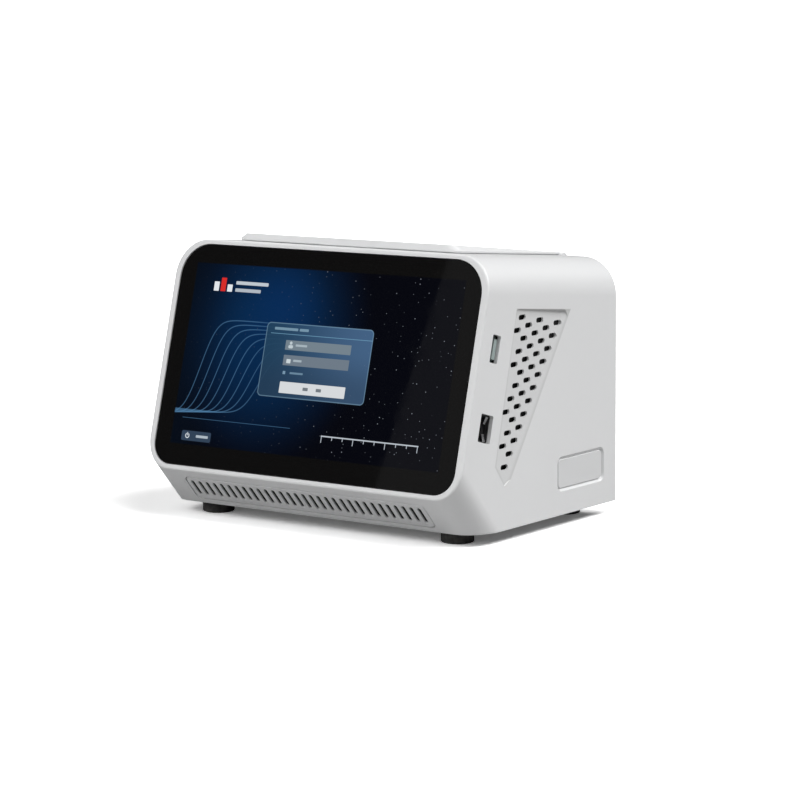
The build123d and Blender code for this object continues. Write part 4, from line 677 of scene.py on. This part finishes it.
# %% Boxes of the picture
BOXES = [
    ((1.9, 65.6), (29.2, 0.13), 0.1, (120, 170, 200), 0.7),
    ((-18.6, 67.9), (6.8, 0.62), 0.3, (150, 185, 205), 0.55),
    ((-8.3, 67.9), (2.6, 0.62), 0.3, (150, 185, 205), 0.55),
    ((1.0, 60.6), (18.8, 2.25), 0.25, (118, 132, 142), 0.95),
    ((1.0, 53.6), (18.8, 2.4), 0.25, (112, 124, 136), 0.95),
    ((-8.6, 60.7), (3.3, 0.5), 0.25, (176, 190, 198), 0.8),
    ((-9.6, 53.6), (2.4, 0.5), 0.25, (176, 190, 198), 0.8),
    ((-14.7, 59.9), (1.35, 0.75), 0.7, (196, 208, 214), 0.9),
    ((-14.7, 61.6), (0.75, 0.75), 0.75, (196, 208, 214), 0.9),
    ((-14.7, 53.2), (1.2, 0.95), 0.25, (206, 216, 220), 0.95),
    ((-16.3, 47.8), (0.75, 0.75), 0.2, (128, 160, 182), 0.85),
    ((-9.2, 47.8), (3.8, 0.45), 0.25, (112, 142, 164), 0.85),
    ((1.1, 41.0), (18.8, 2.65), 0.35, (214, 217, 220), 1.0),
    ((-2.7, 41.0), (1.5, 0.75), 0.3, (96, 104, 112), 0.9),
    ((4.9, 41.0), (1.5, 0.75), 0.3, (96, 104, 112), 0.9),
    ((-63.6, 85.4), (1.5, 2.2), 0.25, (226, 230, 234), 1.0),
    ((-59.6, 86.4), (1.5, 3.2), 0.25, (214, 44, 40), 1.0),
    ((-55.6, 84.9), (1.5, 1.7), 0.25, (226, 230, 234), 1.0),
    ((-42.6, 87.6), (9.6, 0.8), 0.4, (206, 214, 222), 0.85),
    ((-44.6, 84.2), (7.6, 0.8), 0.4, (206, 214, 222), 0.7),
    ((37.4, 20.6), (27.2, 0.28), 0.2, (196, 204, 212), 0.9),
    ((-62.1, 14.2), (8.8, 2.35), 0.8, (58, 76, 98), 0.75),
    ((-58.6, 14.2), (3.6, 0.6), 0.3, (186, 198, 208), 0.85),
]
for centre, half, radius, colour, strength in BOXES:
    picture = over(picture, times(inside(centre, half, radius), strength), *colour)
print(len(BOXES), "boxes in the picture")

# %% [markdown]
# Ticks hang from the time scale, every third one long. The off button's sign is a ring with a
# gap at its top and a stem in the gap.

# %% Ticks and the sign on the off button
TICKS, TICK_PITCH, SCALE_START, SCALE_Y = 10, 5.95, 10.6, 20.6
SIGN_X, SIGN_Y, SIGN_RADIUS, HOLE_RADIUS = -67.4, 14.2, 1.25, 0.8

for k in range(TICKS):
    tall = 1.5 if k % 3 == 0 else 0.8
    tick = inside((SCALE_START + TICK_PITCH * k, SCALE_Y - tall), (0.2, tall), 0.1)
    picture = over(picture, times(tick, 0.85), 190, 198, 208)
disc = inside((SIGN_X, SIGN_Y), (SIGN_RADIUS,) * 2, SIGN_RADIUS)
ring = times(disc, outside((SIGN_X, SIGN_Y), (HOLE_RADIUS,) * 2, HOLE_RADIUS))
ring = times(ring, outside((SIGN_X, 15.4), (0.5, 0.6), 0.1))
stem = inside((SIGN_X, 15.0), (0.2, 0.75), 0.1)
for mask in (ring, stem):
    picture = over(picture, mask, 214, 222, 228)
print(TICKS, "ticks on the time scale")

# %% [markdown]
# Only the lit area shows the picture. Round it the glass is printed black from behind, a little
# paler than the panel. Smears from fingers change how rough the glass is and nothing else.

# %% Glass
LIT_HALF = (77.1, 42.95)

lit = inside((0.0, 53.05), LIT_HALF, 0.3, 0.6)
picture = blend_colour(tree, lit, (0.0, 0.0, 0.0, 1), picture)
ink = blend_colour(tree, lit, (*GLASS_BLACK, 1), LIT_BLACK)
tree.links.new(ink, shader.inputs["Base Color"])
tree.links.new(picture, shader.inputs["Emission Color"])
shader.inputs["Emission Strength"].default_value = 1.0
smears = noise(tree, point, 0.09, 6.0, Distortion=0.6)
tree.links.new(spread(tree, smears, 0.4, 0.75, 0.015, 0.05), shader.inputs["Roughness"])
print("the lit area is", *(2 * half for half in LIT_HALF), "mm")

# %% [markdown]
# ## Which piece wears which material
#
# A list per material is easier to check than a material per piece. A piece that is in none of
# the lists stops the script, so nothing stays bare by mistake.

# %% Dress every solid
screws = [name for name in nodes if name.endswith("_screws")]
dressed = {
    white_case: ["upper_housing"],
    white_lid: ["lid_cover"],
    white_matt: ["rear_panel"],
    grille_moulding: ["front_vent_grille"],
    plate_field: ["name_plate"],
    screen_glass: ["touch_glass"],
    black_moulding: [
        "usb_socket_lower", "power_inlet", "switch_housing", "switch_rocker", "fan_frame",
        "fan_rotor", "light_guide_block", "scan_carriage", "display_panel",
    ],
    tongue_moulding: ["socket_tongues"],
    grey_moulding: ["base_tray"],
    chamber_moulding: ["chamber_deck", "lid_inner_frame"],
    rubber: ["rubber_feet"],
    seal: ["block_gasket", "lid_seal"],
    heater_film: ["heater_mat"],
    chip: ["board_components", "power_components", "scan_motor"],
    ceramic: ["peltier_modules"],
    lens: ["scan_lens"],
    vent_mesh: ["dust_screens"],
    board_green: ["main_board", "power_board", "scan_board"],
    sheet_steel: ["display_bracket", "module_bracket_left", "module_bracket_right", "fan_shroud"],
    screw_steel: [*screws, "lid_magnets", "catch_plates", "hinge_pins", "plate_springs"],
    ground_steel: ["guide_rods", "lead_screw"],
    port_steel: ["usb_socket_upper"],
    socket_steel: ["network_socket"],
    block_metal: ["sample_block"],
    sink_metal: ["heat_sink"],
    plate_metal: ["heated_plate", "optics_frame"],
    brass: ["lead_nut", "board_standoffs"],
}
for wears, names in dressed.items():
    for name in names:
        nodes[name].data.materials.clear()
        nodes[name].data.materials.append(wears)
bare = sorted(set(nodes) - {name for names in dressed.values() for name in names})
if bare:
    raise ValueError("these pieces have no material: " + ", ".join(bare))
print(len(nodes), "solids wear", len(dressed), "materials")

# %% [markdown]
# ## Small pieces drawn here
#
# Contacts, spring tabs, collars, liners and marks could each be a stretched block. Real ones
# are pressed or moulded with soft edges, so each is a strip here: a rounded rectangle carried
# along a path. The same function gives a spring, a tube and a ring.

# %% A strip along a path
SECTION_STEPS = 3
LOOP_STEPS = 7


def rounded(width, height, radius, inset=(0.0,), steps=SECTION_STEPS):
    """The corners' centres plus (radius - inset) times a direction that turns once round."""
    quarter = np.linspace(0, np.pi / 2, steps)
    turn = (np.arange(4)[:, None] * np.pi / 2 + quarter).ravel()
    outward = np.stack([np.cos(turn), np.sin(turn)], axis=1)
    signs = np.repeat([[1, 1], [-1, 1], [-1, -1], [1, -1]], steps, axis=0)
    centres = signs * (np.array([width, height]) / 2 - radius)
    return centres + (radius - np.asarray(inset)[:, None, None]) * outward


def unit(vectors):
    return vectors / np.linalg.norm(vectors, axis=-1, keepdims=True)


def strip(path, out, width, thick, radius=0.05, closed=False):
    """Ring i is path_i + s * side_i + t * lift_i over the section's points (s, t), where side
    is the path's direction crossed with out. An open end is drawn in over one radius."""
    path = np.asarray(path, float)
    inset = np.zeros(len(path))
    if closed:
        along = np.roll(path, -1, axis=0) - np.roll(path, 1, axis=0)
    else:
        first, last = unit(path[1] - path[0]) * radius, unit(path[-1] - path[-2]) * radius
        path = np.vstack([path[0], path[0] + first, path[1:-1], path[-1] - last, path[-1]])
        inset = np.zeros(len(path))
        inset[[0, -1]] = 0.7 * radius
        along = np.gradient(path, axis=0)
    side = unit(np.cross(unit(along), out))
    lift = np.cross(side, unit(along))
    ring = rounded(width, thick, radius, inset)
    verts = path[:, None] + ring[..., :1] * side[:, None] + ring[..., 1:] * lift[:, None]
    count, steps = verts.shape[:2]
    here = np.arange(count if closed else count - 1)[:, None] * steps
    there = (here + steps) % (count * steps)
    now, then = np.arange(steps), (np.arange(steps) + 1) % steps
    faces = np.stack([here + now, there + now, there + then, here + then], axis=-1)
    faces = faces.reshape(-1, 4).tolist()
    if not closed:
        ends = np.arange(count * steps).reshape(count, steps)
        faces += [ends[0].tolist(), ends[-1][::-1].tolist()]
    return verts.reshape(-1, 3), faces


def loop(width, height, radius, level):
    """A closed path round a rounded rectangle, at a level along the third direction."""
    flat = rounded(width, height, radius, steps=LOOP_STEPS)[0]
    return np.column_stack([flat, np.full(len(flat), level)])


# %% [markdown]
# A place is a matrix whose x and y lie in a surface and whose z points out of it, so a socket
# on the leaning side is drawn as if it lay flat. `piece` joins the strips and moves them there.

# %% Places and pieces
OUT = (0, 0, 1)


def place_on(origin, across, up):
    """The place at an origin in millimetres, with across as its x and up as its y."""
    x, y = Vector(across).normalized(), Vector(up).normalized()
    turn = Matrix((x, y, x.cross(y))).transposed().to_4x4()
    return Matrix.Translation(Vector(origin) * MM) @ turn


def add_piece(name, mesh, wears, body):
    """Gives a mesh its material, and the piece its body."""
    mesh.materials.clear()
    mesh.materials.append(wears)
    made = bpy.data.objects.new(name, mesh)
    bpy.context.scene.collection.objects.link(made)
    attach(made, body)
    print(name, len(mesh.polygons), "faces")
    return made


def piece(name, strips, place, wears, body):
    """One mesh of several strips, drawn in millimetres in the frame of a place."""
    starts = np.cumsum([0] + [len(verts) for verts, _ in strips[:-1]])
    verts = np.concatenate([verts for verts, _ in strips]) * MM
    verts = verts @ np.array(place.to_3x3()).T + np.array(place.translation)
    faces = [
        [start + corner for corner in face]
        for start, (_, own) in zip(starts.tolist(), strips)
        for face in own
    ]
    mesh = bpy.data.meshes.new(name)
    mesh.from_pydata(verts.tolist(), [], faces)
    return add_piece(name, mesh, wears, body)


# %% [markdown]
# The side sockets lean with the glass. Their frame has x towards the back, y up the slope and
# z out of the side. A black collar lines the cut in the wall round each of them, and the tongue
# in the upper one ends in a pale cap.

# %% Collars and cap
BACKWARD = Vector((0, math.cos(LEAN), -math.sin(LEAN)))


def on_side(depth, slope):
    foot = GLASS_FOOT / MM
    return place_on(foot + BACKWARD * depth + UP_SLOPE * slope, BACKWARD, UP_SLOPE)


upper_socket, lower_socket = on_side(11.05, 67.8), on_side(12.75, 32.45)
collar = strip(loop(5.5, 12.0, 0.5, 87.9), OUT, 0.35, 1.0, 0.1, closed=True)
piece("upper_socket_collar", [collar], upper_socket, black_moulding, "case")
cap = strip([(1.25, -4.6, 87.8), (1.25, 4.6, 87.8)], OUT, 2.5, 1.9, 0.25)
piece("upper_tongue_cap", [cap], upper_socket, cap_moulding, "case")
collar = strip(loop(8.75, 11.85, 0.6, 87.8), OUT, 0.5, 0.9, 0.1, closed=True)
piece("lower_socket_collar", [collar], lower_socket, tongue_moulding, "case")

# %% [markdown]
# Two bright spring tabs stand at the mouth of the lower socket, bent inwards. Four gold
# contacts lie along the front face of each tongue.

# %% Spring tabs and contacts
TAB_PATH = ((2.7, 5.5, 88.0), (2.7, 4.6, 87.7), (2.5, 2.2, 87.1))
FORWARD = (-1, 0, 0)

tabs = [strip([(x, y * k, z) for x, y, z in TAB_PATH], OUT, 1.9, 0.2, 0.08) for k in (1, -1)]
piece("lower_socket_springs", tabs, lower_socket, socket_steel, "case")
for name, place, x, inner, reach, pitch in (
    ("upper_contacts", upper_socket, -0.1, 78.0, 86.4, 2.4),
    ("lower_contacts", lower_socket, 1.5, 77.0, 86.0, 2.2),
):
    lanes = [
        strip([(x, k * pitch, inner), (x, k * pitch, reach)], FORWARD, 1.1, 0.12)
        for k in (-1.5, -0.5, 0.5, 1.5)
    ]
    piece(name, lanes, place, gold, "case")

# %% [markdown]
# At the back, eight gold springs slope up into the network socket, and two lamp windows sit in
# its upper corners.

# %% Network socket
REAR_ACROSS, UPRIGHT = (-1, 0, 0), (0, 0, 1)
PANEL_Y, PORT_Z, MOUTH = 62.3, 25.0, 2.5
WIRE_PITCH, WIRE_PATH = 1.02, ((-3.6, 0.6), (-3.3, -0.6), (-1.2, -8.0), (-1.3, -10.5))
LAMP_Y, LAMP_Z = 5.25, MOUTH + 0.06

network = place_on((SOCKET_X, PANEL_Y, PORT_Z), REAR_ACROSS, UPRIGHT)
wires = [
    strip([(k * WIRE_PITCH, y, z) for y, z in WIRE_PATH], (0, 1, 0), 0.45, 0.25, 0.08)
    for k in np.arange(-3.5, 4)
]
piece("network_springs", wires, network, gold, "case")
windows = [
    strip([(x * k, LAMP_Y, LAMP_Z) for x in (3.8, 6.9)], OUT, 1.5, 0.2, 0.08) for k in (-1, 1)
]
piece("network_lamps", windows, network, lamp_window, "case")

# %% [markdown]
# The inlet is lined with steel, and a steel sleeve sits on its pin. Both are tubes: a closed
# strip round a circle, as long as the tube. CLEAR keeps them off the CAD surfaces.

# %% Inlet
INLET_X = -68.0
PIN, BORE, TUBE_WALL, TUBE_MIDDLE, TUBE_LENGTH = 1.2, 3.6, 0.2, -2.9, 9.8
CLEAR = 0.02


def tube(radius):
    circle = loop(2 * radius, 2 * radius, radius, TUBE_MIDDLE)
    return strip(circle, OUT, TUBE_WALL, TUBE_LENGTH, 0.05, closed=True)


inlet = place_on((INLET_X, PANEL_Y, PORT_Z), REAR_ACROSS, UPRIGHT)
tubes = [tube(PIN + CLEAR + TUBE_WALL / 2), tube(BORE - CLEAR - TUBE_WALL / 2)]
piece("inlet_liner", tubes, inlet, socket_steel, "case")

# %% [markdown]
# The rocker carries a printed bar on the half that stands out and a ring on the half that is
# pressed in, as on any mains switch. Each half has its own slope, worked out from the points
# of its profile.

# %% Marks on the rocker
ROCKER_X, ROCKER_Z, ROCKER_HALF = 65.5, PORT_Z, 6.5
TILT, DISH = math.radians(10), 0.5
TIP_Y = PANEL_Y + MOUTH + 0.3
SUNK_Y = TIP_Y - 2 * ROCKER_HALF * math.tan(TILT)
MIDDLE_Y = (SUNK_Y + TIP_Y) / 2 - DISH
INK_Z, INK_THICK = 0.02, 0.06


def on_rocker(edge_y, edge_z):
    middle = Vector((ROCKER_X, MIDDLE_Y, ROCKER_Z))
    edge = Vector((ROCKER_X, edge_y, edge_z))
    up = (edge - middle) if edge_z > ROCKER_Z else (middle - edge)
    return place_on((middle + edge) / 2, REAR_ACROSS, up)


out_half = on_rocker(TIP_Y, ROCKER_Z + ROCKER_HALF)
in_half = on_rocker(SUNK_Y, ROCKER_Z - ROCKER_HALF)
bar = strip([(0, -1.3, INK_Z), (0, 1.3, INK_Z)], OUT, 0.5, INK_THICK, 0.02)
ring = strip(loop(2.3, 2.3, 1.15, INK_Z), OUT, 0.45, INK_THICK, 0.02, closed=True)
piece("rocker_bar", [bar], out_half, print_white, "power_rocker")
piece("rocker_ring", [ring], in_half, print_white, "power_rocker")

# %% [markdown]
# The deck round the sample block is printed with the columns' numbers and the rows' letters.
# Blender's own text gives the shapes. It is turned into a mesh before it is placed.

# %% Marks on the deck
DECK_Z, BLOCK_Y = 103.5, 8.0
COLUMNS, WELL_PITCH = 8, 9.0
FIRST_X = -(COLUMNS - 1) / 2 * WELL_PITCH
NUMBERS_Y, LETTERS_X = BLOCK_Y - 15.6, -43.4
MARK_SIZE, MARK_DEPTH = 3.2, 0.04


def lettering(name, text, x, y):
    """One printed character, MARK_DEPTH above and below its own middle."""
    curve = bpy.data.curves.new(name, "FONT")
    curve.body = text
    curve.size = MARK_SIZE * MM
    curve.extrude = MARK_DEPTH * MM
    curve.resolution_u = 3
    curve.align_x, curve.align_y = "CENTER", "CENTER"
    holder = bpy.data.objects.new(name, curve)
    bpy.context.scene.collection.objects.link(holder)
    shape = holder.evaluated_get(bpy.context.evaluated_depsgraph_get())
    mesh = bpy.data.meshes.new_from_object(shape)
    mesh.transform(Matrix.Translation(Vector((x, y, DECK_Z + MARK_DEPTH)) * MM))
    bpy.data.objects.remove(holder)
    bpy.data.curves.remove(curve)
    add_piece(name, mesh, print_white, "case")


for k in range(COLUMNS):
    lettering(f"column_mark_{k + 1}", str(k + 1), FIRST_X + k * WELL_PITCH, NUMBERS_Y)
for k, letter in enumerate("AB"):
    lettering(f"row_mark_{letter}", letter, LETTERS_X, BLOCK_Y + (0.5 - k) * WELL_PITCH)

# %% [markdown]
# Four springs hold the heated plate down. A real coil shortens as the plate gives way, so the
# springs are drawn here in place of the solid ones. A helix is a circle whose height grows with its
# angle.

# %% Springs of the heated plate
SPRING_FOOT, SPRING_TOP, PLATE_TRAVEL = 114.2, 124.4, 2.5
COIL_RADIUS, COIL_TURNS, TURN_STEPS, WIRE = 3.0, 6, 20, 0.8
SPRING_X, SPRING_Y = 37.0, 9.0

angle = np.linspace(0, 2 * np.pi * COIL_TURNS, COIL_TURNS * TURN_STEPS + 1)
height = np.linspace(SPRING_FOOT + WIRE / 2, SPRING_TOP - WIRE / 2, len(angle))
coil = np.column_stack([COIL_RADIUS * np.cos(angle), COIL_RADIUS * np.sin(angle), height])
coils = [
    strip(coil + (x, BLOCK_Y + y, 0), OUT, WIRE, WIRE, 0.48 * WIRE)
    for x in (-SPRING_X, SPRING_X)
    for y in (-SPRING_Y, SPRING_Y)
]
springs = piece("spring_coils", coils, Matrix.Identity(4), screw_steel, "lid")
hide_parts("plate_springs")
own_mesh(springs)

# %% [markdown]
# ## Studio
#
# The floor is pale and plain. The camera sees it nearly white with a soft shadow, while
# the part and its mirrors see a duller one, so that little light comes up from below.

# %% Floor
FLOOR_GLOW, FLOOR_WHITE, FLOOR_DULL = 0.09, 1.62, 0.4
FLOOR_SIZE = 60

floor_mat, tree, _ = material("studio_floor", (0.9, 0.9, 0.9), 0.9)
dull, white = (
    put(tree, "ShaderNodeBsdfDiffuse", {"Color": (level, level, level, 1)}).outputs["BSDF"]
    for level in (FLOOR_DULL, FLOOR_WHITE)
)
own_light = put(tree, "ShaderNodeEmission", {"Strength": FLOOR_GLOW}).outputs["Emission"]
bright = put(tree, "ShaderNodeAddShader", {0: white, 1: own_light}).outputs[0]
seen = put(tree, "ShaderNodeLightPath").outputs["Is Camera Ray"]
floor_mix = put(tree, "ShaderNodeMixShader", {0: seen, 1: dull, 2: bright})
tree.links.new(floor_mix.outputs[0], tree.nodes["Material Output"].inputs["Surface"])
bpy.ops.mesh.primitive_plane_add(size=FLOOR_SIZE)
floor = bpy.context.object
floor.name = "studio_floor"
floor.data.materials.append(floor_mat)
print("the floor is", FLOOR_SIZE, "m wide")

# %% [markdown]
# The photograph shows one paler band on the right of the glass. It is the mirror image of a
# grey card that stands to the left of the camera, so a card stands there that only mirrors
# see. Its outer edge is CARD_EDGE degrees left of straight ahead, its inner one CARD_SPAN less.

# %% Grey card
CARD_EDGE, CARD_SPAN = 36.4, 26.0
CARD_FAR, CARD_LIGHT = 4.0, 0.1

card_look = {"emission_color": (1, 1, 1, 1), "emission_strength": CARD_LIGHT}
card_mat, _, _ = material("grey_card", (0, 0, 0), **card_look)
bearing = np.radians([CARD_EDGE, CARD_EDGE - CARD_SPAN])
foot = np.stack([-np.sin(bearing), -np.cos(bearing), np.zeros(2)], axis=1) * CARD_FAR
corners = np.concatenate([foot, foot[::-1] + (0, 0, CARD_FAR)])
card_mesh = bpy.data.meshes.new("grey_card")
card_mesh.from_pydata(corners.tolist(), [], [[0, 1, 2, 3]])
card_mesh.materials.append(card_mat)
card = bpy.data.objects.new("grey_card", card_mesh)
bpy.context.scene.collection.objects.link(card)
card.visible_camera = card.visible_diffuse = card.visible_shadow = False
print("the card spans", CARD_SPAN, "degrees")

# %% [markdown]
# The dome is the world. It is dim near the horizon, because that is what the leaning glass
# mirrors towards the camera, and brighter overhead. The camera itself sees plain white.

# %% Dome
DOME_LOW, DOME_HIGH = 0.0015, 0.061
RISE_LOW, RISE_HIGH = 0.38, 0.7

world = bpy.data.worlds.new("studio")
bpy.context.scene.world = world
world.use_nodes = True
tree = world.node_tree
backdrop = tree.nodes["Background"]
backdrop.inputs["Color"].default_value = (1, 1, 1, 1)
rise = parts_of(tree, put(tree, "ShaderNodeTexCoord").outputs["Generated"])["Z"]
dome = spread(tree, rise, RISE_LOW, RISE_HIGH, DOME_LOW, DOME_HIGH)
seen = put(tree, "ShaderNodeLightPath").outputs["Is Camera Ray"]
tree.links.new(math_of(tree, "MAXIMUM", dome, seen), backdrop.inputs["Strength"])
print("the dome fades in from", round(math.degrees(math.asin(RISE_LOW))), "degrees up")

# %% [markdown]
# Three broad suns light the part. The key stands high on the right. A weaker one behind it
# makes the bright band along the top's round. The third fills the front from the left and is
# kept out of mirrors. A row is a sun's name, azimuth, elevation, strength and angular size,
# and whether mirrors show it.

# %% Suns
SUNS = (
    ("key", 92.0, 54.0, 1.98, 38.0, True),
    ("round", 140.0, 42.0, 1.45, 26.0, True),
    ("front", -17.0, 34.0, 1.95, 48.0, False),
)


def sun(name, azimuth, elevation, strength, size, mirrored):
    """Azimuth 0 shines from the front of the screen, 90 from its right."""
    data = bpy.data.lights.new(name, "SUN")
    data.energy = strength
    data.angle = math.radians(size)
    made = bpy.data.objects.new(name, data)
    made.visible_glossy = mirrored
    bpy.context.scene.collection.objects.link(made)
    a, e = math.radians(azimuth), math.radians(elevation)
    source = Vector((math.sin(a) * math.cos(e), -math.cos(a) * math.cos(e), math.sin(e)))
    made.rotation_euler = source.to_track_quat("Z", "Y").to_euler()


for row in SUNS:
    sun(*row)
print("suns:", [row[0] for row in SUNS])

# %% [markdown]
# The camera stands where the photograph was taken from: about 36 degrees to the right of the
# screen's front, looking down by 8 degrees. Its place, angles and lens were solved from the
# corners of the lit area.

# %% Camera
YAW, PITCH, ROLL = (math.radians(angle) for angle in (36.193, 8.185, -0.381))
STAND = (0.81402, -1.09684, 0.25067)
LENS, SENSOR = 132.17, 36.0

forward = Vector(
    (-math.sin(YAW) * math.cos(PITCH), math.cos(YAW) * math.cos(PITCH), -math.sin(PITCH))
)
level_right = Vector((math.cos(YAW), math.sin(YAW), 0))
level_up = level_right.cross(forward)
right = math.cos(ROLL) * level_right + math.sin(ROLL) * level_up
up = -math.sin(ROLL) * level_right + math.cos(ROLL) * level_up
camera = bpy.data.objects.new("camera", bpy.data.cameras.new("camera"))
bpy.context.scene.collection.objects.link(camera)
camera.data.sensor_width = SENSOR
camera.data.lens = LENS
camera.data.clip_start, camera.data.clip_end = 0.05, 60.0
turn = Matrix((right, up, -forward)).transposed().to_4x4()
camera.matrix_world = Matrix.Translation(STAND) @ turn
bpy.context.scene.camera = camera
bpy.context.scene.view_settings.view_transform = "Standard"
print("the camera is", round(Vector(STAND).length, 2), "m from the origin")
